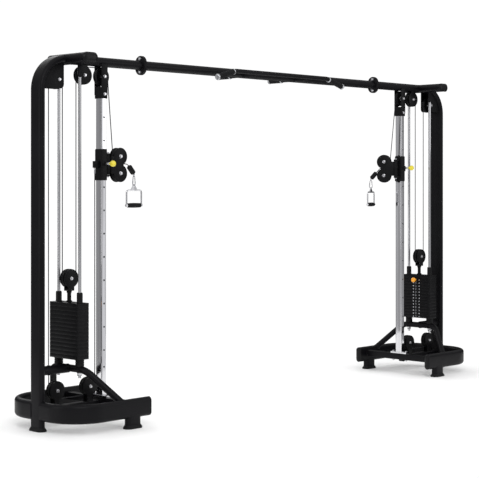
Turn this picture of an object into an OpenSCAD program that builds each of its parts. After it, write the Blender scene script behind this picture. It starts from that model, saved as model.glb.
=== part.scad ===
// Cable crossover machine: two weight-stack towers with sliding pulley
// carriages, joined overhead by a crossbeam that carries pull-up grips.
// Millimetres, +Z up. The origin is on the floor under the crossbeam's middle,
// X runs along the crossbeam and the user stands on the -Y side.
// Every module draws the right-hand tower; the left one is its mirror image.

/* [Layout] */
// Distance from the machine's middle to each adjustment column
column_x = 1584; // [1500:1:1650]
// Distance from a column out to its weight stack
stack_offset = 263; // [260:1:275]
// Distance from a column out to its main upright
upright_offset = 511; // [505:1:530]
// Height of the crossbeam's centre line
beam_z = 2315; // [2300:1:2340]
// Distance from the machine's middle plane to the base arms' centre lines
arm_y = 346; // [340:1:370]

/* [Tubing] */
// Wall thickness of every frame tube
wall = 3; // [2:0.5:4]
// Diameter of the crossbeam
beam_d = 62; // [60:1:64]
// Height of the base tube
base_h = 120; // [110:1:125]
// Thickness of the base tube
base_w = 50; // [45:1:55]
// Thickness of the main upright, along X
upright_w = 45; // [42:1:48]
// Depth of the main upright, along Y
upright_d = 112; // [100:1:120]

/* [Column] */
// Width of the chromed column, along X
column_w = 40; // [40:1:42]
// Depth of the chromed column, along Y
column_d = 60; // [60:1:62]
// Distance between two adjustment holes
hole_pitch = 150; // [140:1:155]
// Diameter of an adjustment hole
hole_d = 13; // [12:0.5:14]

/* [Weight stack] */
// Number of plates that stay down while the top plate is lifted
resting_plates = 12; // [8:1:12]
// Height taken by one weight plate
plate_pitch = 25; // [24:0.5:25]
// Width of a weight plate, along X
plate_w = 94; // [90:1:96]
// Length of a weight plate, along Y
plate_l = 280; // [270:1:290]
// Diameter of a guide rod
rod_d = 20; // [18:1:22]
// Distance from the stack's middle to each guide rod
rod_y = 104; // [100:1:108]

/* [Cable and pulleys] */
// Diameter of the coated steel cable
cable_d = 6; // [5:0.5:6]
// Radius from a frame pulley's axis to the cable's centre
sheave_r = 55; // [54:0.5:56]
// Radius from a carriage pulley's axis to the cable's centre
small_sheave_r = 48; // [46:0.5:48]

/* [Carriage] */
// Height of the pop pin, in one of the adjustment holes
pin_z = 1659; // [1509:150:1659]
// Distance between the two carriage pulleys
carriage_pulley_gap = 110; // [108:1:114]
// Angle that the right-hand swivel bracket is turned to the back
right_swivel = 60; // [0:5:60]
// Angle between the right-hand handle and its swivel bracket
right_handle_turn = 75; // [0:5:110]

/* [Pull-up bar] */
// Distance from the crossbeam's axis forward to the pull-up bar
bar_y = 150; // [140:1:170]
// Half of the pull-up bar's straight length
bar_half = 492; // [450:1:520]
// Half of the pull-up bar's whole length
bar_end = 667; // [640:1:700]
// How far the pull-up bar's ends drop
bar_drop = 52; // [40:1:60]

/* [Hidden] */
$fn = 48;
stack_x = column_x + stack_offset;
upright_x = column_x + upright_offset;
top_tube_x = stack_x + 17;
top_tube_front = 225;
top_tube_back = 122;
top_tube_w = 120;
hinge_x = column_x - sheave_r;
anchor_x = column_x + 53;
middle_pulley_x = stack_x - 2 * sheave_r;
outer_pulley_x = stack_x + 2 * sheave_r;
bottom_inner_x = anchor_x + sheave_r;
upper_pulley_z = beam_z - beam_d / 2 - sheave_r - 7.5;
outer_pulley_z = beam_z - 133;
bottom_pulley_z = 236;
sheave_rim = sheave_r + 5;
sheave_w = 22;
small_rim = small_sheave_r + 5;
small_sheave_w = 20;
axle_d = 10;
running_clearance = 0.1;
fork_gap = 26;
fork_plate = 5;
bend_r = 200;
bend_x = upright_x - bend_r;
bend_z = beam_z - bend_r;
pad_h = 22;
base_z = 125;
base_corner_r = 225;
arm_end_x = column_x - 99;
leg_x = column_x + 36;
crossbar_w = 50;
crossbar_h = 50;
crossbar_top = 158;
spine_top = crossbar_top - 16;
column_plate_h = 12;
column_plate_l = 156;
column_bolt_y = 64;
bolt_d = 10.8;
bolt_hole_d = 11;
column_bottom = crossbar_top + column_plate_h;
column_top = 2150;
lowest_hole_z = 351;
flange_x = column_x - 347;
flange_t = 10;
flange_bolt_r = 43;
hoop_d = 45;
hoop_z = 367.5;
hoop_half = 160;
hoop_foot = [column_x + 116, arm_y, base_z + (base_h - base_w) / 2];
stack_bottom = 430;
plate_gap = 0.4;
moving_bottom = stack_bottom + resting_plates * plate_pitch;
head_plate_h = 28;
head_bottom = moving_bottom + plate_pitch;
head_top = head_bottom + head_plate_h;
stem_d = 22;
fork_base_z = head_top + 72;
stack_pulley_z = fork_base_z + 78;
selector_z = moving_bottom + (plate_pitch - plate_gap) / 2;
selector_hole = 11;
carriage_z = pin_z - 5.5;
carriage_h = 197;
carriage_w = 48;
carriage_d = 70;
small_pulley_x = hinge_x - 93;
nip_z = carriage_z + carriage_pulley_gap / 2 - small_sheave_r;
exit_x = small_pulley_x - 60;
exit_bend_r = 40;
exit_angle = 49;
right_exit_shift = 48;
right_exit_run = 32;
stopper_x = exit_x - exit_bend_r * sin(exit_angle);
stopper_z = nip_z - exit_bend_r * (1 - cos(exit_angle));
stopper_l = 66;
ball_reach = stopper_l + 4;
ball_r = 6;
eye_r = 6.5;
eye_wire = 4;
eye_x = stopper_x - ball_reach * cos(exit_angle);
eye_z = stopper_z - ball_reach * sin(exit_angle) - ball_r - 5.5;
carabiner_wire = 6;
carabiner_w = 30;
carabiner_h = 68;
carabiner_top_z = eye_z - eye_r + eye_wire / 2 + carabiner_wire / 2 + 0.3;
carabiner_low_z = carabiner_top_z - carabiner_h + carabiner_wire;
handle_hole_d = 12;
handle_hole_z = carabiner_low_z + carabiner_wire / 2 + 0.8 - handle_hole_d / 2;
handle_bar = 11;
handle_bar_z = handle_hole_z - 38;
grip_z = handle_hole_z - 129;
bar_d = 32;
bar_hole_d = bar_d + 0.2;
cross_tube_x = 275;
cross_tube_z = beam_z - 11;
cross_tube_back = 230;

// ---- shared shapes ----

module left() {
    mirror([1, 0, 0]) children();
}

module both() {
    children();
    left() children();
}

module front_and_back() {
    children();
    mirror([0, 1, 0]) children();
}

// Flat oval, long axis along x
module flat_oval(length, width) {
    square([length - width, width], center = true);
    for (side = [-1, 1])
        translate([side * (length - width) / 2, 0]) circle(d = width);
}

// Ring of a flat-oval tube, long axis along x
module oval_ring(length, width) {
    difference() {
        flat_oval(length, width);
        flat_oval(length - 2 * wall, width - 2 * wall);
    }
}

module round_rect(size_x, size_y, corner) {
    square([size_x - 2 * corner, size_y], center = true);
    square([size_x, size_y - 2 * corner], center = true);
    for (sx = [-1, 1], sy = [-1, 1])
        translate([sx * (size_x / 2 - corner), sy * (size_y / 2 - corner)]) circle(r = corner);
}

// Round bar between two points
module strut(from, to, diameter) {
    run = to - from;
    translate(from)
        rotate([0, acos(run.z / norm(run)), atan2(run.y, run.x)])
            cylinder(d = diameter, h = norm(run));
}

// Extrude a shape along +X: its x becomes Y and its y becomes Z
module along_x(from, to) {
    translate([from, 0, 0])
        rotate([90, 0, 90]) linear_extrude(to - from) children();
}

// Extrude a shape along Y: its x stays X and its y becomes Z
module along_y(from, to) {
    translate([0, to, 0])
        rotate([90, 0, 0]) linear_extrude(to - from) children();
}

// Cable lying on an arc in the XZ plane, angles from +X towards +Z
module cable_arc(center_x, center_z, radius, from, to) {
    translate([center_x, 0, center_z])
        rotate([90, 0, 0]) rotate([0, 0, from])
            rotate_extrude(angle = to - from) translate([radius, 0]) circle(d = cable_d, $fn = 24);
}

module cable_run(from, to) {
    strut(from, to, cable_d, $fn = 24);
}

// Grooved pulley on an axis along Y
module pulley(center_x, center_z, cable_radius, rim, width) {
    groove = cable_d / 2 + 0.6;
    recess_in = 17;
    recess_out = cable_radius - 11;
    recess_depth = 5;
    translate([center_x, 0, center_z]) rotate([90, 0, 0])
        rotate_extrude() difference() {
            translate([(axle_d + running_clearance) / 2, -width / 2])
                square([rim - (axle_d + running_clearance) / 2, width]);
            translate([cable_radius, 0]) circle(r = groove, $fn = 24);
            polygon([[cable_radius, -groove], [rim + 1, -groove - 3],
                     [rim + 1, groove + 3], [cable_radius, groove]]);
            for (side = [-1, 1])
                translate([recess_in, side * width / 2 - recess_depth / 2])
                    square([recess_out - recess_in, recess_depth]);
        }
}

// Pulley axle along Y with a low head at each end
module axle(center_x, center_z, half_length) {
    translate([center_x, 0, center_z]) rotate([90, 0, 0]) {
        cylinder(d = axle_d, h = 2 * half_length, center = true);
        for (side = [0, 1])
            mirror([0, 0, side]) translate([0, 0, half_length]) cylinder(d = 19, h = 5);
    }
}

// Spacer tubes between a pulley and the two plates that hold its axle
module axle_spacers(center_x, center_z, plate_y) {
    front_and_back()
        translate([center_x, -sheave_w / 2 - 1, center_z]) rotate([90, 0, 0])
            cylinder(d = 20, h = plate_y - sheave_w / 2 - 1);
}

// Hexagon bolt head or nut lying on a face, axis along +Z
module hex_head(across, height) {
    cylinder(d = across / cos(30), h = height, $fn = 6);
}

// Things that turn with the swivel bracket, angle towards the back
module swivelled(angle) {
    translate([hinge_x, 0, 0]) rotate([0, 0, -angle]) translate([-hinge_x, 0, 0]) children();
}

// The right-hand stopper, clip and handle hang closer to the pulleys and lower
module hung_close() {
    translate([right_exit_shift - right_exit_run * cos(exit_angle), 0,
               -right_exit_run * sin(exit_angle)]) children();
}

// Things that hang on the handle, turned about the vertical through its eye
module handle_turned(turn) {
    translate([eye_x, 0, 0]) rotate([0, 0, turn]) translate([-eye_x, 0, 0]) children();
}

// ---- outer shapes that neighbours are cut back to ----

module arm_outline(from, to) {
    along_x(from, to) translate([arm_y, base_z]) rotate(90) flat_oval(base_h, base_w);
}

module top_tube_section(inset) {
    translate([top_tube_x, beam_z]) flat_oval(top_tube_w - 2 * inset, beam_d - 2 * inset);
}

module top_tube_outline() {
    along_y(-arm_y, arm_y) top_tube_section(0);
}

module beam_outline() {
    translate([0, 0, beam_z]) rotate([0, 90, 0])
        cylinder(d = beam_d, h = 2 * top_tube_x, center = true);
}

module hoop_outline(reach) {
    translate([stack_x, 0, hoop_z]) rotate([90, 0, 0])
        cylinder(d = hoop_d, h = 2 * reach, center = true);
}

// ---- frame ----

module base_loop() {
    corner_x = upright_x - base_corner_r;
    corner_y = arm_y - base_corner_r;
    difference() {
        union() {
            front_and_back() {
                along_x(arm_end_x, corner_x)
                    translate([arm_y, base_z]) rotate(90) oval_ring(base_h, base_w);
                translate([corner_x, corner_y, base_z])
                    rotate_extrude(angle = 90)
                        translate([base_corner_r, 0]) rotate(90) oval_ring(base_h, base_w);
                translate([leg_x, arm_y, pad_h])
                    linear_extrude(base_z - base_h / 2 + 8 - pad_h) oval_ring(115, base_w);
            }
            along_y(-corner_y, corner_y)
                translate([upright_x, base_z]) rotate(90) oval_ring(base_h, base_w);
        }
        translate([upright_x, 0, 0])
            linear_extrude(base_h * 2) rotate(90) flat_oval(upright_d, base_w + 2);
    }
}

module base_crossbar() {
    half = arm_y - base_w / 2;
    difference() {
        along_y(-half, half)
            translate([column_x, crossbar_top - crossbar_h / 2])
                difference() {
                    square([crossbar_w, crossbar_h], center = true);
                    square([crossbar_w - 2 * wall, crossbar_h - 2 * wall], center = true);
                }
        front_and_back() translate([column_x, column_bolt_y, 0])
            cylinder(d = bolt_hole_d, h = crossbar_top + 1);
    }
    along_x(column_x + crossbar_w / 2, upright_x - upright_w / 2)
        translate([0, spine_top - crossbar_h / 2])
            difference() {
                square([crossbar_w, crossbar_h], center = true);
                square([crossbar_w - 2 * wall, crossbar_h - 2 * wall], center = true);
            }
}

module base_frames() {
    color("#1c1c1f") both() {
        base_loop();
        base_crossbar();
    }
}

module upright_shape() {
    difference() {
        union() {
            translate([upright_x, 0, pad_h])
                linear_extrude(bend_z - pad_h) rotate(90) oval_ring(upright_d, upright_w);
            translate([bend_x, 0, bend_z]) rotate([90, 0, 0])
                rotate_extrude(angle = 90)
                    translate([bend_r, 0]) rotate(90) oval_ring(upright_d, upright_w);
        }
        top_tube_outline();
    }
}

module main_uprights() {
    color("#1c1c1f") both() upright_shape();
}

// Tube hoop that carries the stack, its sloping legs and its tie to the upright
module hoop_shape() {
    corner = [stack_x, hoop_half, hoop_z];
    tie_d = 57;
    difference() {
        union() {
            hoop_outline(hoop_half);
            front_and_back() {
                translate(corner) sphere(d = hoop_d);
                strut(corner, hoop_foot, hoop_d);
            }
            along_x(stack_x + 12, upright_x - upright_w / 2)
                translate([0, hoop_z]) circle(d = tie_d);
        }
        front_and_back() arm_outline(arm_end_x, upright_x);
        front_and_back() translate([stack_x, rod_y, 0]) cylinder(d = rod_d, h = beam_z);
        translate([outer_pulley_x + sheave_r, 0, hoop_z])
            cylinder(d = 24, h = 2 * tie_d, center = true);
    }
}

module stack_hoops() {
    color("#1c1c1f") both() hoop_shape();
}

// Two-bolt oval flange plate standing across X
module flange(from) {
    along_x(from, from + flange_t) translate([0, beam_z])
        difference() {
            rotate(90) flat_oval(128, 94);
            for (side = [-1, 1])
                translate([0, side * flange_bolt_r]) circle(d = 12);
        }
}

module rod_holder() {
    translate([stack_x, rod_y, beam_z - 117])
        cylinder(d = rod_d + 7, h = 117);
}

module top_tube() {
    stub_end = top_tube_x - 50;
    difference() {
        union() {
            along_y(-top_tube_front, top_tube_back) top_tube_section(0);
            translate([flange_x, 0, beam_z]) rotate([0, 90, 0])
                cylinder(d = beam_d, h = stub_end - flange_x);
            front_and_back() rod_holder();
        }
        along_y(-top_tube_front - 1, top_tube_back + 1) top_tube_section(wall);
        translate([flange_x - 1, 0, beam_z]) rotate([0, 90, 0])
            cylinder(d = beam_d - 2 * wall, h = stub_end - flange_x);
        front_and_back() translate([stack_x, rod_y, 0])
            cylinder(d = rod_d, h = beam_z - 40);
    }
    flange(flange_x);
}

module top_tubes() {
    color("#1c1c1f") both() top_tube();
}

module center_beam() {
    half = flange_x;
    color("#1c1c1f") {
        difference() {
            translate([0, 0, beam_z]) rotate([0, 90, 0])
                cylinder(d = beam_d, h = 2 * half, center = true);
            translate([0, 0, beam_z]) rotate([0, 90, 0])
                cylinder(d = beam_d - 2 * wall, h = 2 * half + 2, center = true);
            both() translate([cross_tube_x, 0, cross_tube_z]) rotate([90, 0, 0])
                cylinder(d = bar_hole_d, h = 200, center = true);
        }
        both() flange(flange_x - flange_t);
    }
}

module column_shape() {
    levels = floor((pin_z + 2 * hole_pitch - lowest_hole_z - 100) / hole_pitch);
    difference() {
        translate([column_x, 0, column_bottom])
            linear_extrude(column_top - column_bottom)
                difference() {
                    round_rect(column_w, column_d, 7);
                    round_rect(column_w - 2 * wall, column_d - 2 * wall, 4);
                }
        for (level = [0 : levels])
            translate([column_x, -column_d / 2, pin_z + (2 - level) * hole_pitch])
                rotate([90, 0, 0]) cylinder(d = hole_d, h = 4 * wall, center = true);
        translate([column_x, -column_d / 2, lowest_hole_z])
            rotate([90, 0, 0]) cylinder(d = hole_d, h = 4 * wall, center = true);
    }
    translate([column_x, 0, crossbar_top])
        linear_extrude(column_plate_h) difference() {
            round_rect(crossbar_w, column_plate_l, 5);
            for (side = [-1, 1])
                translate([0, side * column_bolt_y]) circle(d = bolt_hole_d);
        }
}

module columns() {
    color("#d9dadc") both() column_shape();
}

// Sleeve round the column's top and two plates that hang from the crossbeam
module head_bracket() {
    sleeve_w = column_w + 10;
    sleeve_d = column_d + 12;
    sleeve_z = 2080;
    difference() {
        union() {
            translate([column_x, 0, sleeve_z])
                linear_extrude(column_top - sleeve_z + 4) round_rect(sleeve_w, sleeve_d, 4);
            front_and_back()
                along_y(sleeve_d / 2 - fork_plate, sleeve_d / 2)
                    translate([column_x - sleeve_w / 2, sleeve_z + 20])
                        square([sleeve_w, beam_z - sleeve_z - 20]);
        }
        translate([column_x, 0, 0])
            linear_extrude(column_top) round_rect(column_w, column_d, 7);
        beam_outline();
        front_and_back() along_y(beam_d / 2 - 5, sleeve_d)
            translate([column_x - sleeve_w, beam_z - 12]) square([2 * sleeve_w, 40]);
    }
    axle(column_x, upper_pulley_z, sleeve_d / 2);
    axle_spacers(column_x, upper_pulley_z, sleeve_d / 2 - fork_plate);
}

module head_brackets() {
    color("#1c1c1f") both() head_bracket();
}

// Two plates in the bend of the upright that carry the outer upper pulley
module bend_gusset() {
    plate_x = outer_pulley_x - 30;
    plate_z = outer_pulley_z - 51;
    plate_y = 34;
    front_and_back()
        along_y(plate_y, plate_y + fork_plate)
            intersection() {
                translate([plate_x, plate_z])
                    union() {
                        translate([30, 0]) square([140, 200]);
                        translate([0, 30]) square([140, 200]);
                        translate([30, 30]) circle(r = 30);
                    }
                translate([plate_x, plate_z]) square([upright_x - upright_w / 2 - plate_x, 160]);
                union() {
                    translate([bend_x, bend_z]) circle(r = bend_r - upright_w / 2, $fn = 96);
                    translate([bend_x, bend_z - 200]) square([bend_r - upright_w / 2, 200]);
                }
            }
    axle(outer_pulley_x, outer_pulley_z, plate_y + fork_plate);
    axle_spacers(outer_pulley_x, outer_pulley_z, plate_y);
}

module middle_pulley_plates() {
    difference() {
        front_and_back()
            along_y(fork_gap / 2, fork_gap / 2 + fork_plate) {
                translate([middle_pulley_x, upper_pulley_z]) circle(r = 24);
                translate([middle_pulley_x - 24, upper_pulley_z]) square([48, 75]);
            }
        beam_outline();
    }
    axle(middle_pulley_x, upper_pulley_z, fork_gap / 2 + fork_plate);
}

module bottom_pulley_plates(center_x) {
    front_and_back()
        along_y(fork_gap / 2, fork_gap / 2 + fork_plate) {
            translate([center_x, bottom_pulley_z]) circle(r = 24);
            translate([center_x - 24, spine_top]) square([48, bottom_pulley_z - spine_top]);
        }
    axle(center_x, bottom_pulley_z, fork_gap / 2 + fork_plate);
}

module pulley_plates() {
    color("#1c1c1f") both() {
        bend_gusset();
        middle_pulley_plates();
        bottom_pulley_plates(outer_pulley_x);
        bottom_pulley_plates(bottom_inner_x);
    }
}

// Point on the drooping end of the pull-up bar, 0 at its bend and 1 at its tip
function bar_point(share) =
    [bar_half + share * (bar_end - bar_half), -bar_y, beam_z - share * bar_drop];

module pull_up_bar() {
    color("#1c1c1f") {
        translate([0, -bar_y, beam_z]) rotate([0, 90, 0])
            cylinder(d = bar_d, h = 2 * bar_half, center = true);
        both() {
            translate(bar_point(0)) sphere(d = bar_d + 1);
            strut(bar_point(0), bar_point(1), bar_d);
            along_y(-bar_y, cross_tube_back)
                translate([cross_tube_x, cross_tube_z]) circle(d = bar_d);
        }
    }
}

// Rubber sleeve on a bar along +Z that ends at z = 0, with a collar and an end cap
module grip_sleeve(length, collar) {
    bore = bar_hole_d / 2;
    rotate_extrude()
        polygon([[bore, -length], [21.5, -length], [21.5, -length + collar],
                 [20, -length + collar], [20, -8], [21.5, -8], [21.5, 4], [18, 6],
                 [0, 6], [0, 0.1], [bore, 0.1]]);
}

module grip_sleeves() {
    run = bar_point(1) - bar_point(0);
    translate(bar_point(1)) rotate([0, acos(run.z / norm(run)), 0])
        grip_sleeve(0.92 * norm(run), 9);
    translate([cross_tube_x, cross_tube_back, cross_tube_z]) rotate([-90, 0, 0])
        grip_sleeve(125, 4);
}

module pull_up_grips() {
    color("#2a2a2c") both() grip_sleeves();
}

module guide_rods() {
    rod_bottom = 312;
    color("#d9dadc") both() front_and_back()
        translate([stack_x, rod_y, rod_bottom])
            cylinder(d = rod_d, h = beam_z - 45 - rod_bottom);
}

module weight_plate(level_z, thickness) {
    difference() {
        translate([stack_x, 0, level_z])
            linear_extrude(thickness) round_rect(plate_w, plate_l, 6);
        front_and_back() translate([stack_x, rod_y, level_z - 1])
            cylinder(d = rod_d + 2, h = thickness + 2);
        translate([stack_x, 0, level_z - 1]) cylinder(d = stem_d + 3, h = thickness + 2);
        translate([stack_x - plate_w / 2 - 1, 0, level_z + thickness / 2]) rotate([0, 90, 0])
            cylinder(d = selector_hole, h = plate_w / 2);
    }
}

module weight_plates() {
    color("#202022") both()
        for (level = [0 : resting_plates - 1])
            weight_plate(stack_bottom + level * plate_pitch, plate_pitch - plate_gap);
}

module foot_pad(length, width) {
    linear_extrude(12) flat_oval(length + 23, width + 22);
    translate([0, 0, 12]) linear_extrude(pad_h - 12) flat_oval(length + 10, width + 10);
}

module rubber_feet_and_bumpers() {
    color("#161617") both() {
        front_and_back() translate([leg_x, arm_y, 0]) foot_pad(115, base_w);
        translate([upright_x, 0, 0]) rotate(90) foot_pad(upright_d, upright_w);
        front_and_back() difference() {
            translate([stack_x, rod_y, hoop_z + 15])
                cylinder(d = 56, h = stack_bottom - hoop_z - 15);
            hoop_outline(hoop_half);
            translate([stack_x, rod_y, 0]) cylinder(d = rod_d, h = stack_bottom + 1);
        }
    }
}

module tube_end_caps() {
    color("#161617") both() {
        front_and_back() {
            along_x(arm_end_x - 4, arm_end_x)
                translate([arm_y, base_z]) rotate(90) flat_oval(base_h, base_w);
            along_x(arm_end_x - 8, arm_end_x - 4)
                translate([arm_y, base_z]) rotate(90) flat_oval(base_h - 14, base_w - 14);
        }
        along_y(top_tube_back, top_tube_back + 4) top_tube_section(0);
        along_y(top_tube_back + 4, top_tube_back + 10) top_tube_section(7);
        along_y(-top_tube_front - 4, -top_tube_front) top_tube_section(0);
        along_y(-top_tube_front - 10, -top_tube_front - 4) top_tube_section(7);
    }
}

module flange_bolt() {
    translate([flange_x - flange_t, 0, 0]) rotate([0, 90, 0]) {
        cylinder(d = 11.8, h = 2 * flange_t + 2);
        translate([0, 0, 2 * flange_t]) hex_head(19, 8);
        translate([0, 0, -7]) hex_head(19, 7);
    }
}

module frame_bolts() {
    bracket_face = (column_d + 12) / 2;
    rod_nut = hoop_z - hoop_d / 2 - 18;
    color("#c9cacc") both() {
        for (side = [-1, 1])
            translate([0, 0, beam_z + side * flange_bolt_r]) flange_bolt();
        front_and_back() {
            translate([column_x, bracket_face, 2108]) rotate([-90, 0, 0]) hex_head(19, 6);
            translate([column_x, column_bolt_y, 0]) {
                translate([0, 0, column_bottom]) hex_head(17, 7);
                translate([0, 0, crossbar_top - crossbar_h - 12])
                    cylinder(d = bolt_d, h = crossbar_h + column_plate_h + 12);
                translate([0, 0, crossbar_top - crossbar_h - 9]) hex_head(17, 9);
            }
            difference() {
                translate([stack_x, rod_y, rod_nut]) hex_head(30, 17);
                translate([stack_x, rod_y, rod_nut - 1]) cylinder(d = rod_d, h = 20);
            }
        }
    }
}

// ---- cable ----

module frame_cable() {
    run_x = outer_pulley_x + sheave_r;
    low_z = bottom_pulley_z - sheave_r;
    high_z = upper_pulley_z + sheave_r;
    cable_arc(column_x, upper_pulley_z, sheave_r, 90, 180);
    cable_run([column_x, 0, high_z], [middle_pulley_x, 0, high_z]);
    cable_arc(middle_pulley_x, upper_pulley_z, sheave_r, 0, 90);
    cable_arc(outer_pulley_x, outer_pulley_z, sheave_r, 0, 180);
    cable_run([run_x, 0, bottom_pulley_z], [run_x, 0, outer_pulley_z]);
    cable_arc(outer_pulley_x, bottom_pulley_z, sheave_r, -90, 0);
    cable_run([bottom_inner_x, 0, low_z], [outer_pulley_x, 0, low_z]);
    cable_arc(bottom_inner_x, bottom_pulley_z, sheave_r, 180, 270);
}

module frame_cables() {
    color("#101011") both() frame_cable();
}

module stack_cable() {
    color("#101011") {
        cable_run([stack_x - sheave_r, 0, stack_pulley_z],
                  [stack_x - sheave_r, 0, upper_pulley_z - 0.5]);
        cable_run([stack_x + sheave_r, 0, stack_pulley_z],
                  [stack_x + sheave_r, 0, outer_pulley_z - 0.5]);
        cable_arc(stack_x, stack_pulley_z, sheave_r, 180, 360);
    }
}

module handle_cable(angle) {
    reach = hinge_x - small_pulley_x - small_sheave_r;
    color("#101011")
        cable_run([hinge_x, 0, upper_pulley_z - 0.5],
                  [hinge_x - reach * cos(angle), reach * sin(angle),
                   carriage_z + carriage_pulley_gap / 2 + 0.5]);
}

module anchor_cable() {
    color("#101011")
        cable_run([anchor_x, 0, bottom_pulley_z + 0.5], [anchor_x, 0, carriage_z - 20]);
}

// From the upper carriage pulley through the gap and down to the stopper
module swivel_cable(angle, shift, run) {
    bend_x = exit_x + shift;
    color("#101011") swivelled(angle) {
        cable_arc(small_pulley_x, carriage_z + carriage_pulley_gap / 2, small_sheave_r, 270, 360);
        cable_run([bend_x, 0, nip_z], [small_pulley_x, 0, nip_z]);
        cable_arc(bend_x, nip_z - exit_bend_r, exit_bend_r, 90, 90 + exit_angle);
        if (run > 0)
            translate([bend_x, 0, nip_z - exit_bend_r]) rotate([90, 0, 0])
                rotate([0, 0, 90 + exit_angle]) translate([exit_bend_r, 0, 0])
                    rotate([-90, 0, 0]) cylinder(d = cable_d, h = run, $fn = 24);
    }
}

// ---- weight stack, moving ----

module stack_head() {
    color("#202022") {
        weight_plate(moving_bottom, plate_pitch - plate_gap);
        difference() {
            union() {
                translate([stack_x, 0, head_bottom])
                    linear_extrude(head_plate_h) round_rect(plate_w, plate_l, 6);
                front_and_back() translate([stack_x, rod_y, head_top]) cylinder(d = 38, h = 65);
            }
            front_and_back() translate([stack_x, rod_y, 0])
                cylinder(d = rod_d + 0.6, h = head_top + 100);
            translate([stack_x, 0, head_bottom - 1]) cylinder(d = stem_d, h = head_plate_h + 2);
        }
    }
}

module lift_stem() {
    stem_bottom = stack_bottom + 10;
    color("#2a2a2c") {
        difference() {
            translate([stack_x, 0, stem_bottom]) cylinder(d = stem_d, h = head_top - stem_bottom);
            for (level = [0 : resting_plates])
                translate([stack_x, 0, selector_z - level * plate_pitch])
                    rotate([0, 90, 0]) cylinder(d = selector_hole, h = 40, center = true);
        }
        translate([stack_x, 0, head_top]) cylinder(d = 26, h = fork_base_z - head_top);
        translate([stack_x - 24, -fork_gap / 2 - fork_plate, fork_base_z])
            cube([48, fork_gap + 2 * fork_plate, 13]);
        front_and_back()
            along_y(fork_gap / 2, fork_gap / 2 + fork_plate) {
                translate([stack_x, stack_pulley_z]) circle(r = 24);
                translate([stack_x - 24, fork_base_z]) square([48, stack_pulley_z - fork_base_z]);
            }
        axle(stack_x, stack_pulley_z, fork_gap / 2 + fork_plate);
    }
}

module selector_pin() {
    face_x = stack_x - plate_w / 2;
    translate([0, 0, selector_z]) {
        color("#d9dadc") translate([face_x - 6, 0, 0]) rotate([0, 90, 0])
            cylinder(d = 9.5, h = plate_w / 2 + 14);
        color("#f5a623") translate([face_x - 6, 0, 0]) rotate([0, -90, 0]) {
            cylinder(d = 20, h = 12);
            translate([0, 0, 12]) rotate_extrude() intersection() {
                translate([0, 0]) square([20, 28]);
                translate([0, 14]) circle(d = 40);
            }
        }
    }
}

// ---- carriage ----

module carriage() {
    lug_h = 12;
    lug_zs = [carriage_z - 74, carriage_z + 62];
    color("#1c1c1f") {
        difference() {
            union() {
                translate([column_x, 0, carriage_z - carriage_h / 2])
                    linear_extrude(carriage_h) round_rect(carriage_w, carriage_d, 6);
                for (lug_z = lug_zs)
                    translate([0, 0, lug_z]) linear_extrude(lug_h) {
                        translate([hinge_x, 0]) circle(r = 16);
                        translate([hinge_x, -16])
                            square([column_x - carriage_w / 2 - hinge_x + 2, 32]);
                    }
                translate([column_x + carriage_w / 2 - 2, -12, carriage_z - 20])
                    cube([41, 24, 43]);
                translate([column_x, -carriage_d / 2 + 2, pin_z]) rotate([90, 0, 0])
                    cylinder(d = 24, h = 24);
            }
            translate([column_x, 0, 0])
                linear_extrude(beam_z) round_rect(column_w + 0.8, column_d + 0.8, 7.4);
            translate([column_x, -column_d / 2, pin_z]) rotate([90, 0, 0])
                cylinder(d = 10.8, h = 100, center = true);
        }
        translate([hinge_x, 0, lug_zs[0] - 7]) {
            cylinder(d = 12, h = lug_zs[1] - lug_zs[0] + lug_h + 14);
            hex_head(19, 7);
        }
        translate([hinge_x, 0, lug_zs[1] + lug_h]) hex_head(19, 7);
    }
}

module pop_pin() {
    tip_y = -column_d / 2 - 0.5;
    neck_y = -carriage_d / 2 - 22.5;
    knob_y = -94;
    translate([column_x, 0, pin_z]) rotate([90, 0, 0]) {
        color("#d9dadc") {
            translate([0, 0, -tip_y]) cylinder(d = 10, h = -neck_y + tip_y);
            translate([0, 0, -neck_y]) cylinder(d = 15, h = neck_y - knob_y);
        }
        color("#e6d23a") translate([0, 0, -knob_y])
            rotate_extrude() intersection() {
                square([22.5, 42]);
                union() {
                    translate([0, 20]) circle(r = 22.5);
                    polygon([[0, 0], [10, 0], [22, 22], [0, 22]]);
                }
            }
    }
}

module swivel_bracket_shape() {
    barrel_z = carriage_z - 74 + 12.5;
    barrel_h = 123;
    plate_in = 15;
    plate_r = 55;
    upper = [small_pulley_x, carriage_z + carriage_pulley_gap / 2];
    lower = [small_pulley_x, carriage_z - carriage_pulley_gap / 2];
    difference() {
        union() {
            translate([hinge_x, 0, barrel_z]) cylinder(d = 31, h = barrel_h);
            front_and_back()
                along_y(plate_in, plate_in + fork_plate) {
                    translate(upper) circle(r = plate_r);
                    translate(lower) circle(r = plate_r);
                    translate([small_pulley_x - 16, carriage_z - 24]) square([62, 48]);
                    translate([small_pulley_x, barrel_z + 4])
                        square([hinge_x - small_pulley_x, barrel_h - 8]);
                }
        }
        translate([hinge_x, 0, barrel_z - 1])
            cylinder(d = 12 + running_clearance, h = barrel_h + 2);
    }
    for (center = [upper, lower])
        axle(center.x, center.y, plate_in + fork_plate);
}

module swivel_bracket(angle) {
    color("#1c1c1f") swivelled(angle) swivel_bracket_shape();
}

module carriage_pulley(angle, side) {
    color("#161617") swivelled(angle)
        pulley(small_pulley_x, carriage_z + side * carriage_pulley_gap / 2,
               small_sheave_r, small_rim, small_sheave_w);
}

// ---- handle ----

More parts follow.
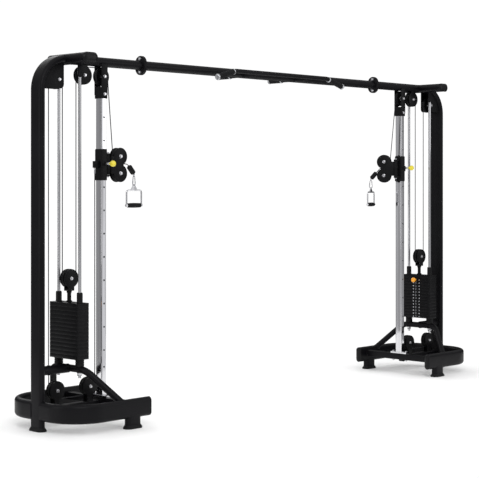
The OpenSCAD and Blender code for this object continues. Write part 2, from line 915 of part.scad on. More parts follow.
// Rubber stopper on the cable's end, with a ball below it that holds an eye
module cable_stopper(turn) {
    color("#161617") {
        translate([stopper_x, 0, stopper_z]) rotate([0, -90 - exit_angle, 0]) {
            translate([0, 0, 0.6]) rotate_extrude()
                polygon([[0, 0], [11, 0], [14, 4], [14, stopper_l - 6],
                         [10, stopper_l - 1], [0, stopper_l - 1]]);
            translate([0, 0, ball_reach]) sphere(r = ball_r);
        }
        handle_turned(turn)
            translate([eye_x, 0, eye_z]) rotate([90, 0, 0])
                rotate_extrude() translate([eye_r, 0]) circle(d = eye_wire, $fn = 24);
    }
}

// Long ring of round bar that joins the eye to the handle, square to the handle
module carabiner_shape() {
    bend = (carabiner_w - carabiner_wire) / 2;
    top_bend_z = carabiner_top_z - bend;
    low_bend_z = carabiner_low_z + bend;
    translate([eye_x, 0, 0]) rotate([0, 0, 90]) {
        for (side = [-1, 1])
            translate([side * bend, 0, low_bend_z])
                cylinder(d = carabiner_wire, h = top_bend_z - low_bend_z, $fn = 24);
        translate([0, 0, low_bend_z]) rotate([90, 0, 0]) rotate([0, 0, 180])
            rotate_extrude(angle = 180) translate([bend, 0]) circle(d = carabiner_wire, $fn = 24);
        translate([0, 0, top_bend_z]) rotate([90, 0, 0])
            rotate_extrude(angle = 180) translate([bend, 0]) circle(d = carabiner_wire, $fn = 24);
    }
}

module carabiner(turn) {
    color("#c9cacc") handle_turned(turn) carabiner_shape();
}

// Stirrup of round bar with a pierced plate at its top
module handle_shape() {
    half = 65;
    corner = 14;
    translate([eye_x, 0, 0]) {
        along_y(-3, 3) difference() {
            translate([0, handle_bar_z])
                polygon([[-27, 0], [27, 0], [11, 38], [8, 49], [-8, 49], [-11, 38]]);
            translate([0, handle_hole_z]) circle(d = handle_hole_d);
        }
        for (side = [0, 1]) mirror([side, 0, 0]) {
            translate([half, 0, grip_z]) cylinder(d = handle_bar, h = handle_bar_z - corner - grip_z);
            translate([half - corner, 0, handle_bar_z - corner]) rotate([90, 0, 0])
                rotate_extrude(angle = 90) translate([corner, 0]) circle(d = handle_bar);
            translate([0, 0, handle_bar_z]) rotate([0, 90, 0])
                cylinder(d = handle_bar, h = half - corner);
            translate([half, 0, grip_z]) sphere(d = handle_bar);
        }
        translate([0, 0, grip_z]) rotate([0, 90, 0]) cylinder(d = 10, h = 2 * half, center = true);
    }
}

module handle_frame(turn) {
    color("#d9dadc") handle_turned(turn) handle_shape();
}

module handle_grip(turn) {
    color("#1b1b1c") handle_turned(turn)
        translate([eye_x, 0, grip_z]) rotate([0, 90, 0])
            rotate_extrude()
                polygon([[5.3, -56], [14, -56], [15, -30], [16, 0], [15, 30], [14, 56], [5.3, 56]]);
}

// ---- the two towers' moving sub-parts, by name ----

module left_stack_head() { left() stack_head(); }
module right_stack_head() { stack_head(); }
module left_lift_stem() { left() lift_stem(); }
module right_lift_stem() { lift_stem(); }
module left_selector_pin() { left() selector_pin(); }
module right_selector_pin() { selector_pin(); }

module frame_pulley(center_x, center_z) {
    color("#161617") pulley(center_x, center_z, sheave_r, sheave_rim, sheave_w);
}

module right_stack_pulley() { frame_pulley(stack_x, stack_pulley_z); }
module left_stack_pulley() { left() right_stack_pulley(); }
module right_outer_pulley() { frame_pulley(outer_pulley_x, outer_pulley_z); }
module left_outer_pulley() { left() right_outer_pulley(); }
module right_middle_pulley() { frame_pulley(middle_pulley_x, upper_pulley_z); }
module left_middle_pulley() { left() right_middle_pulley(); }
module right_head_pulley() { frame_pulley(column_x, upper_pulley_z); }
module left_head_pulley() { left() right_head_pulley(); }
module right_bottom_outer_pulley() { frame_pulley(outer_pulley_x, bottom_pulley_z); }
module left_bottom_outer_pulley() { left() right_bottom_outer_pulley(); }
module right_bottom_inner_pulley() { frame_pulley(bottom_inner_x, bottom_pulley_z); }
module left_bottom_inner_pulley() { left() right_bottom_inner_pulley(); }

module left_carriage() { left() carriage(); }
module right_carriage() { carriage(); }
module left_pop_pin() { left() pop_pin(); }
module right_pop_pin() { pop_pin(); }
module left_swivel_bracket() { left() swivel_bracket(0); }
module right_swivel_bracket() { swivel_bracket(right_swivel); }
module left_upper_carriage_pulley() { left() carriage_pulley(0, 1); }
module right_upper_carriage_pulley() { carriage_pulley(right_swivel, 1); }
module left_lower_carriage_pulley() { left() carriage_pulley(0, -1); }
module right_lower_carriage_pulley() { carriage_pulley(right_swivel, -1); }
module left_swivel_cable() { left() swivel_cable(0, 0, 0); }
module right_swivel_cable() {
    swivel_cable(right_swivel, right_exit_shift, right_exit_run);
}
module left_cable_stopper() { left() cable_stopper(0); }
module right_cable_stopper() {
    swivelled(right_swivel) hung_close() cable_stopper(right_handle_turn);
}
module left_carabiner() { left() carabiner(0); }
module right_carabiner() {
    swivelled(right_swivel) hung_close() carabiner(right_handle_turn);
}
module left_handle_frame() { left() handle_frame(0); }
module right_handle_frame() {
    swivelled(right_swivel) hung_close() handle_frame(right_handle_turn);
}
module left_handle_grip() { left() handle_grip(0); }
module right_handle_grip() {
    swivelled(right_swivel) hung_close() handle_grip(right_handle_turn);
}
module left_stack_cable() { left() stack_cable(); }
module right_stack_cable() { stack_cable(); }
module left_handle_cable() { left() handle_cable(0); }
module right_handle_cable() { handle_cable(right_swivel); }
module left_anchor_cable() { left() anchor_cable(); }
module right_anchor_cable() { anchor_cable(); }

base_frames();
main_uprights();
stack_hoops();
top_tubes();
center_beam();
pull_up_bar();
pull_up_grips();
columns();
head_brackets();
pulley_plates();
guide_rods();
weight_plates();
rubber_feet_and_bumpers();
tube_end_caps();
frame_bolts();
frame_cables();
left_stack_head();
left_lift_stem();
left_selector_pin();
left_stack_pulley();
left_outer_pulley();
left_middle_pulley();
left_head_pulley();
left_bottom_outer_pulley();
left_bottom_inner_pulley();
left_carriage();
left_pop_pin();
left_swivel_bracket();
left_upper_carriage_pulley();
left_lower_carriage_pulley();
left_swivel_cable();
left_cable_stopper();
left_carabiner();
left_handle_frame();
left_handle_grip();
left_stack_cable();
left_handle_cable();
left_anchor_cable();
right_stack_head();
right_lift_stem();
right_selector_pin();
right_stack_pulley();
right_outer_pulley();
right_middle_pulley();
right_head_pulley();
right_bottom_outer_pulley();
right_bottom_inner_pulley();
right_carriage();
right_pop_pin();
right_swivel_bracket();
right_upper_carriage_pulley();
right_lower_carriage_pulley();
right_swivel_cable();
right_cable_stopper();
right_carabiner();
right_handle_frame();
right_handle_grip();
right_stack_cable();
right_handle_cable();
right_anchor_cable();
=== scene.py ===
"""Looks of a cable crossover machine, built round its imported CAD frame.

Everything is in metres in the row frame: +X along the crossbeam, -Y the user's side, +Z up.
Each tower piece is built for the right-hand tower (+X) and mirrored for the left one.
"""
import math

import bmesh
import bpy
from mathutils import Matrix, Vector


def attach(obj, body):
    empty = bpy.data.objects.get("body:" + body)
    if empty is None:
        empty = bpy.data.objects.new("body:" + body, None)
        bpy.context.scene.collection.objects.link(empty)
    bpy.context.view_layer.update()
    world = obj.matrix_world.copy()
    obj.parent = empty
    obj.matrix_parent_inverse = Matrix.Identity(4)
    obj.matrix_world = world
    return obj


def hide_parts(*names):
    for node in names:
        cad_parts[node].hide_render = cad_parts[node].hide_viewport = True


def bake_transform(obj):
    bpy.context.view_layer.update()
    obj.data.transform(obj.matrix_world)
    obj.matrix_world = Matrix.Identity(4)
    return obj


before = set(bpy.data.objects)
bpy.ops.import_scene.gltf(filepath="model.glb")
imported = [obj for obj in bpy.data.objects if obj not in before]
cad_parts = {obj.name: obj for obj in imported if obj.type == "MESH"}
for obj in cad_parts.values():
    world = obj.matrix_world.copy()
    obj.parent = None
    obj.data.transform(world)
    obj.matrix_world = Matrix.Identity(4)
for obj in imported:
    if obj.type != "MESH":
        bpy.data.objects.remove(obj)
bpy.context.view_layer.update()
TAU = 2 * math.pi
SIDES = ("left", "right")
X, Y, Z = Vector((1, 0, 0)), Vector((0, 1, 0)), Vector((0, 0, 1))

# ---- places, as the CAD has them ----
COLUMN_X = 1.584
STACK_X = COLUMN_X + 0.263
UPRIGHT_X = COLUMN_X + 0.511
TOP_TUBE_X = STACK_X + 0.017
TOP_TUBE_FRONT, TOP_TUBE_BACK = -0.225, 0.122
BEAM_Z = 2.315
BEAM_R = 0.031
ARM_Y = 0.346
ARM_END_X = COLUMN_X - 0.099
LEG_X = COLUMN_X + 0.036
BASE_Z = 0.125
BASE_H, BASE_W = 0.120, 0.050
BASE_CORNER_R = 0.225
UPRIGHT_W, UPRIGHT_D = 0.045, 0.112
BEND_R = 0.200
PAD_H = 0.022
CROSSBAR_TOP = 0.158
CROSSBAR_W = 0.050
SPINE_TOP = CROSSBAR_TOP - 0.016
COLUMN_W, COLUMN_D = 0.040, 0.060
CROSSBAR_Z, SPINE_Z = CROSSBAR_TOP - CROSSBAR_W / 2, SPINE_TOP - CROSSBAR_W / 2
FOOT_PLATE_TOP = CROSSBAR_TOP + 0.012
FOOT_BOLT_Y = 0.064
LEG_L = 0.115
UPRIGHT_FACE = UPRIGHT_X - UPRIGHT_W / 2
TOP_TUBE_W = 0.120
FLANGE_X = COLUMN_X - 0.347
FLANGE_H, FLANGE_W, FLANGE_T = 0.128, 0.094, 0.010
HOOP_Z, HOOP_R, HOOP_HALF = 0.3675, 0.0225, 0.160
TIE_R = 0.0285
SHEAVE_R, RIM_R, SHEAVE_W = 0.055, 0.060, 0.022
SMALL_R, SMALL_RIM_R, SMALL_W = 0.048, 0.053, 0.020
CHEEK_Y, CHEEK_R, CHEEK_T = 0.0225, 0.0585, 0.005
HEAD_PLATE_Y, GUSSET_Y = 0.0366, 0.039
HEAD_SLEEVE_Z, HEAD_SLEEVE_H, HEAD_BOLT_Z = 2.080, 0.074, 2.108
HEAD_PLATE_Z, HEAD_PLATE_H = 2.2015, 0.203
CABLE_R = 0.003
ANCHOR_X = COLUMN_X + 0.053
HINGE_X = COLUMN_X - SHEAVE_R
MIDDLE_X, OUTER_X, INNER_X = STACK_X - 2 * SHEAVE_R, STACK_X + 2 * SHEAVE_R, ANCHOR_X + SHEAVE_R
UPPER_Z = BEAM_Z - BEAM_R - SHEAVE_R - 0.0075
OUTER_Z = BEAM_Z - 0.133
BOTTOM_Z = 0.236
ROD_R, ROD_Y = 0.010, 0.104
ROD_FOOT_Z, ROD_L = 0.312, 1.950
STACK_Z, PLATE_PITCH, RESTING = 0.430, 0.025, 12
PLATE_W, PLATE_L, PLATE_GAP = 0.094, 0.280, 0.0004
MOVING_Z = STACK_Z + RESTING * PLATE_PITCH
HEAD_Z = MOVING_Z + PLATE_PITCH
HEAD_T = 0.028
HEAD_TOP = HEAD_Z + HEAD_T
FORK_Z = HEAD_TOP + 0.072
STACK_PULLEY_Z = FORK_Z + 0.078
STACK_FACE = STACK_X - PLATE_W / 2
PLATE_HOLE_RISE = 0.0123
SELECTOR_X, SELECTOR_Z = STACK_FACE - 0.006, MOVING_Z + PLATE_HOLE_RISE
PIN_Z = 1.659
KNOB_Y = -0.084
HOLE_PITCH = 0.150
LOWEST_HOLE_Z = 0.351
CARRIAGE_Z = PIN_Z - 0.0055
CARRIAGE_H, CARRIAGE_W, CARRIAGE_D = 0.197, 0.048, 0.070
HINGE_BOLT_RISE = 0.074
SMALL_X = HINGE_X - 0.093
PULLEY_GAP = 0.110
NIP_Z = CARRIAGE_Z + PULLEY_GAP / 2 - SMALL_R
EXIT_X = SMALL_X - 0.060
EXIT_R = 0.040
EXIT_ANGLE = math.radians(49)
RIGHT_SWIVEL = math.radians(60)
RIGHT_TURN = math.radians(75)
RIGHT_EXIT_SHIFT, RIGHT_EXIT_RUN = 0.048, 0.032
STOPPER = Vector((EXIT_X - EXIT_R * math.sin(EXIT_ANGLE), 0,
                  NIP_Z - EXIT_R * (1 - math.cos(EXIT_ANGLE))))
EXIT_DIR = Vector((-math.cos(EXIT_ANGLE), 0, -math.sin(EXIT_ANGLE)))
STOPPER_L = 0.066
BALL = STOPPER + EXIT_DIR * (STOPPER_L + 0.004)
EYE = BALL - Z * 0.0115
CLIP_WIRE, CLIP_WIDE, CLIP_NARROW = 0.003, 0.0125, 0.0085
CLIP_TOP_Z = EYE.z - 0.0065 + 0.002 + CLIP_WIRE + 0.0003
CLIP_LOW_Z = CLIP_TOP_Z - 0.062
HANDLE_HOLE_R = 0.006
HOLE_Z = CLIP_LOW_Z + CLIP_WIRE + 0.0008 - HANDLE_HOLE_R
HANDLE_BAR_Z = HOLE_Z - 0.038
GRIP_Z = HOLE_Z - 0.129
HANDLE_HALF, HANDLE_BAR_R = 0.065, 0.0055
BOW_Z = HANDLE_BAR_Z + 0.009
BAR_Y, BAR_HALF, BAR_END, BAR_DROP, BAR_R = 0.150, 0.492, 0.667, 0.052, 0.016
CROSS_X, CROSS_Z, CROSS_BACK = 0.275, BEAM_Z - 0.011, 0.230


# brightness that mirrors see round the horizon, from -X through -Y, +X and +Y back to -X
STUDIO = ((0, 0.42), (0.056, 0.62), (0.125, 0.36), (0.194, 0.52), (0.264, 0.24), (0.335, 0.70),
          (0.372, 0.76), (0.390, 0.30), (0.458, 0.08), (0.5, 0.05), (0.625, 0.02), (0.75, 0.05),
          (0.811, 0.30), (0.850, 0.20), (0.875, 0.36), (0.905, 0.42), (0.940, 0.70), (1, 0.42))


# ---- camera, floor and light ----
def make_camera():
    data = bpy.data.cameras.new("camera")
    data.sensor_width = 36
    data.lens = 103.63
    data.shift_y = -0.1136
    data.dof.use_dof = False
    camera = bpy.data.objects.new("camera", data)
    camera.location = (-7.3845, -6.8119, 1.525)
    camera.rotation_euler = (math.radians(90), 0, math.radians(-46.15))
    bpy.context.scene.collection.objects.link(camera)
    bpy.context.scene.camera = camera


def area_light(name, place, aim, size, power, stretch=1.0):
    data = bpy.data.lights.new(name, "AREA")
    data.shape = "RECTANGLE"
    data.size = size
    data.size_y = size * stretch
    data.energy = power
    light = bpy.data.objects.new(name, data)
    light.location = place
    light.rotation_euler = (Vector(aim) - Vector(place)).to_track_quat("-Z", "Y").to_euler()
    bpy.context.scene.collection.objects.link(light)


def map_range(tree, source, *values):
    """A Map Range node on source. The values are From Min, From Max, To Min and To Max."""
    node = tree.nodes.new("ShaderNodeMapRange")
    for name, value in zip(("From Min", "From Max", "To Min", "To Max"), values):
        node.inputs[name].default_value = value
    tree.links.new(source, node.inputs["Value"])
    return node.outputs["Result"]


def mix_colours(tree, share, *colours):
    """From the first to the second colour as share goes from 0 to 1. Each is a tuple or an output."""
    node = tree.nodes.new("ShaderNodeMixRGB")
    tree.links.new(share, node.inputs[0])
    for number, colour in enumerate(colours, 1):
        if isinstance(colour, tuple):
            node.inputs[number].default_value = colour
        else:
            tree.links.new(colour, node.inputs[number])
    return node.outputs[0]


def make_world():
    """White all round. Mirror rays see a studio with a bright side and a dark far end instead."""
    world = bpy.data.worlds.new("studio")
    bpy.context.scene.world = world
    world.use_nodes = True
    tree = world.node_tree
    nodes, link = tree.nodes, tree.links.new
    nodes.clear()
    coords = nodes.new("ShaderNodeTexCoord")
    split = nodes.new("ShaderNodeSeparateXYZ")
    link(coords.outputs["Generated"], split.inputs[0])
    turn = nodes.new("ShaderNodeMath")
    turn.operation = "ARCTAN2"
    link(split.outputs["Y"], turn.inputs[0])
    link(split.outputs["X"], turn.inputs[1])
    horizon = nodes.new("ShaderNodeValToRGB")
    stops = horizon.color_ramp.elements
    for place, value in STUDIO:
        stop = stops[place] if place in (0, 1) else stops.new(place)
        stop.color = (value, value, value * 1.02, 1)
    link(map_range(tree, turn.outputs[0], -math.pi, math.pi), horizon.inputs[0])
    upward = map_range(tree, split.outputs["Z"], 0.30, 0.75, 0, 0.8)
    studio = mix_colours(tree, upward, horizon.outputs[0], (0.9, 0.9, 0.9, 1))
    rays = nodes.new("ShaderNodeLightPath")
    back = nodes.new("ShaderNodeBackground")
    back.inputs["Strength"].default_value = 1.04
    link(mix_colours(tree, rays.outputs["Is Glossy Ray"], (1, 1, 1, 1), studio), back.inputs["Color"])
    out = nodes.new("ShaderNodeOutputWorld")
    link(back.outputs[0], out.inputs["Surface"])


def make_stage():
    """A pale floor and soft studio lights."""
    scene = bpy.context.scene
    scene.view_settings.view_transform = "Standard"
    mesh = bpy.data.meshes.new("floor")
    half_x, half_y = 3.4, 1.9
    corners = [(-half_x, -half_y, 0), (half_x, -half_y, 0), (half_x, half_y, 0), (-half_x, half_y, 0)]
    mesh.from_pydata(corners, [], [(0, 1, 2, 3)])
    floor = bpy.data.objects.new("floor", mesh)
    scene.collection.objects.link(floor)
    pale = bpy.data.materials.new("pale_floor")
    pale.use_nodes = True
    shader = pale.node_tree.nodes["Principled BSDF"]
    shader.inputs["Base Color"].default_value = (0.955, 0.955, 0.955, 1)
    shader.inputs["Roughness"].default_value = 0.9
    mesh.materials.append(pale)

    area_light("key", (-5.0, -5.5, 5.2), (0, 0, 1.0), 3.2, 120)
    area_light("fill", (4.5, -6.0, 3.4), (0.4, 0, 1.1), 3.0, 45)
    area_light("rim", (1.0, 6.0, 4.6), (0, 0, 1.2), 3.5, 80)
    area_light("side", (-7.5, 1.5, 2.2), (-1.8, 0, 1.2), 1.2, 30, 2.6)


# ---- materials ----
class Finish:
    """One procedural material, built up from a Principled shader."""

    def __init__(self, name, colour, roughness, metallic=0.0, coat=0.0, specular=0.5):
        self.material = bpy.data.materials.new(name)
        self.material.use_nodes = True
        self.tree = self.material.node_tree
        self.shader = self.tree.nodes["Principled BSDF"]
        self.coords = self.tree.nodes.new("ShaderNodeTexCoord")
        self.height = None
        self.colour, self.roughness = colour, roughness
        self.shader.inputs["Base Color"].default_value = (*colour, 1)
        self.shader.inputs["Roughness"].default_value = roughness
        self.shader.inputs["Metallic"].default_value = metallic
        self.shader.inputs["Coat Weight"].default_value = coat
        self.shader.inputs["Coat Roughness"].default_value = 0.12
        self.shader.inputs["Specular IOR Level"].default_value = specular

    def noise(self, scale, detail, stretch=(1, 1, 1)):
        mapping = self.tree.nodes.new("ShaderNodeMapping")
        mapping.inputs["Scale"].default_value = stretch
        texture = self.tree.nodes.new("ShaderNodeTexNoise")
        texture.inputs["Scale"].default_value = scale
        texture.inputs["Detail"].default_value = detail
        self.tree.links.new(self.coords.outputs["Object"], mapping.inputs[0])
        self.tree.links.new(mapping.outputs[0], texture.inputs["Vector"])
        return texture.outputs["Fac"]

    def vary_roughness(self, source, spread):
        result = map_range(self.tree, source, 0.3, 0.7, self.roughness - spread, self.roughness + spread)
        self.tree.links.new(result, self.shader.inputs["Roughness"])
        return self

    def vary_colour(self, source, low, high, start=0.3, end=0.7):
        """The colour goes from low to high times itself where source goes from start to end."""
        share = map_range(self.tree, source, start, end, 0, 1)
        mixed = mix_colours(self.tree, share, (*[c * low for c in self.colour], 1),
                            (*[min(1, c * high) for c in self.colour], 1))
        self.tree.links.new(mixed, self.shader.inputs["Base Color"])
        return self

    def bump(self, source, depth, strength=1.0):
        """Adds a bump of that depth in metres on top of those already there."""
        node = self.tree.nodes.new("ShaderNodeBump")
        node.inputs["Distance"].default_value = depth
        node.inputs["Strength"].default_value = strength
        self.tree.links.new(source, node.inputs["Height"])
        if self.height is not None:
            self.tree.links.new(self.height, node.inputs["Normal"])
        self.height = node.outputs["Normal"]
        self.tree.links.new(self.height, self.shader.inputs["Normal"])
        return self

    def bands(self, scale, axis="Y"):
        """Stripes across the UV map, such as turning marks or a rope's lay."""
        texture = self.tree.nodes.new("ShaderNodeTexWave")
        texture.wave_type = "BANDS"
        texture.bands_direction = axis
        texture.wave_profile = "SIN"
        texture.inputs["Scale"].default_value = scale
        self.tree.links.new(self.coords.outputs["UV"], texture.inputs["Vector"])
        return texture.outputs["Fac"]


def make_paints(f):
    def powder(name, colour, roughness, grain):
        coat = Finish(name, colour, roughness, specular=0.14)
        coat.vary_roughness(coat.noise(7, 4), 0.05)
        coat.vary_colour(coat.noise(3.5, 5), 0.8, 1.3)
        coat.bump(coat.noise(grain, 3), 0.00022, 0.55)
        return coat.material

    f["frame"] = powder("frame_powder_coat", (0.0030, 0.0028, 0.0038), 0.40, 620)
    f["bracket"] = powder("bracket_powder_coat", (0.0030, 0.0030, 0.0035), 0.42, 900)

    weld = Finish("painted_weld", (0.0030, 0.0029, 0.0036), 0.36, specular=0.15)
    weld.vary_roughness(weld.noise(90, 3), 0.06).bump(weld.noise(420, 3), 0.0004, 0.6)
    f["weld"] = weld.material

    iron = Finish("enamelled_iron", (0.0026, 0.0026, 0.0032), 0.40, specular=0.14)
    iron.vary_roughness(iron.noise(40, 5), 0.09).vary_colour(iron.noise(18, 5), 0.75, 1.45)
    iron.bump(iron.noise(260, 5), 0.00035, 0.5)
    f["iron"] = iron.material


def make_shadow(f):
    dark = Finish("shadow_black", (0.004, 0.004, 0.004), 0.8, specular=0.1)
    dark.vary_roughness(dark.noise(100, 3), 0.05)
    f["dark"] = dark.material


def make_metals(f):
    chrome = Finish("chrome_plate", (0.78, 0.78, 0.80), 0.075, metallic=1.0)
    chrome.vary_roughness(chrome.noise(6, 2, (6, 6, 0.12)), 0.030)
    chrome.vary_colour(chrome.noise(5, 2, (6, 6, 0.15)), 0.66, 1.12)
    chrome.bump(chrome.noise(40, 1, (4, 4, 0.06)), 0.000006, 0.2)
    f["chrome"] = chrome.material

    zinc = Finish("zinc_plate", (0.66, 0.66, 0.68), 0.26, metallic=1.0)
    zinc.vary_roughness(zinc.noise(220, 4), 0.08).vary_colour(zinc.noise(120, 4), 0.82, 1.1)
    zinc.bump(zinc.noise(1400, 3), 0.00003, 0.6)
    f["zinc"] = zinc.material

    alloy = Finish("satin_alloy", (0.60, 0.61, 0.63), 0.33, metallic=1.0)
    alloy.vary_roughness(alloy.noise(300, 3), 0.06)
    alloy.bump(alloy.bands(160), 0.00004, 0.5)
    f["alloy"] = alloy.material


def make_plastics(f):
    nylon = Finish("pulley_nylon", (0.0022, 0.0022, 0.0026), 0.34, specular=0.16)
    nylon.vary_roughness(nylon.noise(160, 4), 0.06).vary_colour(nylon.noise(60, 4), 0.8, 1.5)
    nylon.bump(nylon.bands(75), 0.00005, 0.5).bump(nylon.noise(1500, 2), 0.00005, 0.4)
    f["nylon"] = nylon.material

    rubber = Finish("grip_rubber", (0.0050, 0.0050, 0.0058), 0.62, specular=0.2)
    rubber.vary_roughness(rubber.noise(200, 4), 0.07).vary_colour(rubber.noise(70, 4), 0.8, 1.35)
    rubber.bump(rubber.noise(1900, 4), 0.00014, 0.8)
    f["rubber"] = rubber.material

    foot = Finish("foot_rubber", (0.0035, 0.0035, 0.0040), 0.52, specular=0.2)
    foot.vary_roughness(foot.noise(150, 4), 0.08).vary_colour(foot.noise(40, 4), 0.8, 1.5)
    foot.bump(foot.noise(1300, 4), 0.00012, 0.7)
    f["foot"] = foot.material

    plastic = Finish("cap_plastic", (0.0038, 0.0037, 0.0044), 0.36, specular=0.2)
    plastic.vary_roughness(plastic.noise(90, 4), 0.05).bump(plastic.noise(1700, 2), 0.00010, 0.6)
    f["plastic"] = plastic.material

    rope = Finish("nylon_jacket", (0.010, 0.010, 0.012), 0.38, specular=0.25)
    rope.vary_roughness(rope.noise(500, 3), 0.05)
    rope.vary_colour(rope.bands(1.0, "DIAGONAL"), 0.9, 1.15, 0.2, 0.8)
    rope.bump(rope.bands(1.0, "DIAGONAL"), 0.00012, 0.3)
    f["rope"] = rope.material


def make_knob_plastics(f):
    def knob(name, colour):
        gloss = Finish(name, colour, 0.24, coat=0.35)
        gloss.vary_roughness(gloss.noise(110, 4), 0.04).vary_colour(gloss.noise(30, 3), 0.93, 1.05)
        gloss.bump(gloss.noise(700, 2), 0.00004, 0.5)
        return gloss.material

    f["yellow"] = knob("yellow_knob", (0.74, 0.62, 0.038))
    f["orange"] = knob("orange_knob", (0.91, 0.37, 0.018))


def make_finishes():
    finishes = {}
    for make in (make_paints, make_metals, make_plastics, make_knob_plastics, make_shadow):
        make(finishes)
    return finishes


# ---- outlines and paths ----
def arc(center, radius, start, end, steps=10):
    """Points on an arc in a plane, angles in degrees from the first axis to the second."""
    out = []
    for i in range(steps + 1):
        a = math.radians(start + (end - start) * i / steps)
        out.append((center[0] + radius * math.cos(a), center[1] + radius * math.sin(a)))
    return out


def circle(radius, steps=32):
    return arc((0, 0), radius, 0, 360 - 360 / steps, steps - 1)


def flat_oval(length, width, steps=14):
    """Closed outline with round ends, its long axis along the first axis."""
    half = (length - width) / 2
    return arc((half, 0), width / 2, -90, 90, steps) + arc((-half, 0), width / 2, 90, 270, steps)


def round_rect(size_a, size_b, radius, steps=4):
    a, b = size_a / 2 - radius, size_b / 2 - radius
    out = []
    for sa, sb, start in ((1, 1, 0), (-1, 1, 90), (-1, -1, 180), (1, -1, 270)):
        out += arc((sa * a, sb * b), radius, start, start + 90, steps)
    return out


def swap(outline):
    """The outline with its two axes exchanged, still counter-clockwise."""
    return [(b, a) for a, b in reversed(outline)]


def inset(outline, distance):
    """The outline moved inwards by that distance, corner by corner."""
    out = []
    n = len(outline)
    for i, (a, b) in enumerate(outline):
        before, after = Vector(outline[i - 1]), Vector(outline[(i + 1) % n])
        here = Vector((a, b))
        one, two = (here - before), (after - here)
        if one.length < 1e-9 or two.length < 1e-9:
            out.append((a, b))
            continue
        one.normalize()
        two.normalize()
        normal = Vector((-(one.y + two.y), one.x + two.x))
        if normal.length < 1e-6:
            normal = Vector((-one.y, one.x))
        normal.normalize()
        slope = max(0.35, normal.dot(Vector((-one.y, one.x))))
        out.append(tuple(here + normal * (distance / slope)))
    return out


def rounded_path(points, radius, steps):
    """The polyline with its corners rounded."""
    points = [Vector(p) for p in points]
    out = [points[0]]
    for before, here, after in zip(points, points[1:], points[2:]):
        one, two = (here - before).normalized(), (after - here).normalized()
        bend = one.angle(two)
        if bend < 1e-4:
            out.append(here)
            continue
        normal = (two - one * one.dot(two)).normalized()
        center = here - one * (radius * math.tan(bend / 2)) + normal * radius
        for k in range(steps + 1):
            a = bend * k / steps
            out.append(center - normal * radius * math.cos(a) + one * radius * math.sin(a))
    return out + [points[-1]]


def soften(profile, size=0.0008):
    """A lathe profile with its corners rounded."""
    out = [profile[0]]
    for i in range(1, len(profile) - 1):
        here = Vector(profile[i])
        before, after = Vector(profile[i - 1]) - here, Vector(profile[i + 1]) - here
        if before.length < 1e-9 or after.length < 1e-9 or before.angle(after) > math.radians(160):
            out.append(tuple(here))
            continue
        start = here + before.normalized() * min(size, before.length * 0.45)
        end = here + after.normalized() * min(size, after.length * 0.45)
        middle = (start + end) / 2 * 0.5 + here * 0.5
        out += [tuple(start), tuple(middle), tuple(end)]
    out.append(profile[-1])
    return out


# ---- mesh building ----
def skin(bm, rings, closed=False, material=0):
    """Joins rings of points with quads and closes the ends. A ring of one point is a pole."""
    uv = bm.loops.layers.uv.verify()
    made = [[bm.verts.new(p) for p in ring] for ring in rings]
    length = [0.0]
    for i in range(1, len(rings)):
        length.append(length[-1] + (Vector(rings[i][0]) - Vector(rings[i - 1][0])).length)
    pairs = list(range(1, len(made))) + ([0] if closed else [])
    for i in pairs:
        low, high = made[i - 1], made[i]
        v0 = length[i - 1]
        v1 = length[i] if i else length[-1] + (Vector(rings[0][0]) - Vector(rings[-1][0])).length
        n = max(len(low), len(high))
        for k in range(n):
            j = (k + 1) % n
            if len(low) == 1:
                corners = [(low[0], k, v0), (high[j], k + 1, v1), (high[k], k, v1)]
            elif len(high) == 1:
                corners = [(low[k], k, v0), (low[j], k + 1, v0), (high[0], k, v1)]
            else:
                corners = [(low[k], k, v0), (low[j], k + 1, v0), (high[j], k + 1, v1), (high[k], k, v1)]
            face = bm.faces.new([c[0] for c in corners])
            face.material_index = material
            for loop, (_, u, v) in zip(face.loops, corners):
                loop[uv].uv = (u / n, v)
    if not closed:
        for ring, flip in ((made[0], True), (made[-1], False)):
            if len(ring) > 2:
                face = bm.faces.new(list(reversed(ring)) if flip else ring)
                face.material_index = material
    return made


def sweep(bm, path, outline, normal, closed=False):
    """Runs an outline along a path that lies in a plane with that normal.
    The outline's first axis points to the path's side, its second along the normal."""
    normal = Vector(normal).normalized()
    path = [Vector(p) for p in path]
    rings = []
    n = len(path)
    for i, p in enumerate(path):
        if closed:
            tangent = path[(i + 1) % n] - path[i - 1]
        else:
            tangent = path[min(i + 1, n - 1)] - path[max(i - 1, 0)]
        tangent.normalize()
        side = tangent.cross(normal).normalized()
        stretch = 1
        if closed or 0 < i < n - 1:
            stretch = 1 / max(0.5, (p - path[i - 1]).normalized().dot(tangent))
        rings.append([p + side * (a * stretch) + normal * b for a, b in outline])
    skin(bm, rings, closed)


def tube(bm, path, radius, normal, steps, closed=False):
    sweep(bm, path, circle(radius, steps), normal, closed)


def across(axis):
    """Two directions square to an axis."""
    axis = Vector(axis).normalized()
    first = axis.cross(Z) if abs(axis.z) < 0.9 else axis.cross(X)
    first.normalize()
    return first, axis.cross(first).normalized()


def lathe(bm, profile, origin, axis, steps, material=0):
    """Turns a profile of (height, radius) round an axis."""
    axis = Vector(axis).normalized()
    first, second = across(axis)
    rings = []
    for height, radius in profile:
        center = Vector(origin) + axis * height
        outline = circle(radius, steps) if radius > 1e-7 else [(0, 0)]
        rings.append([center + first * a + second * b for a, b in outline])
    skin(bm, rings, False, material)


def lathe_ring(bm, profile, origin, axis, steps):
    """Turns a closed profile that doesn't touch the axis."""
    axis = Vector(axis).normalized()
    first, second = across(axis)
    rings = []
    for a, b in circle(1, steps):
        out = first * a + second * b
        rings.append([Vector(origin) + axis * h + out * r for h, r in profile])
    skin(bm, rings, True)


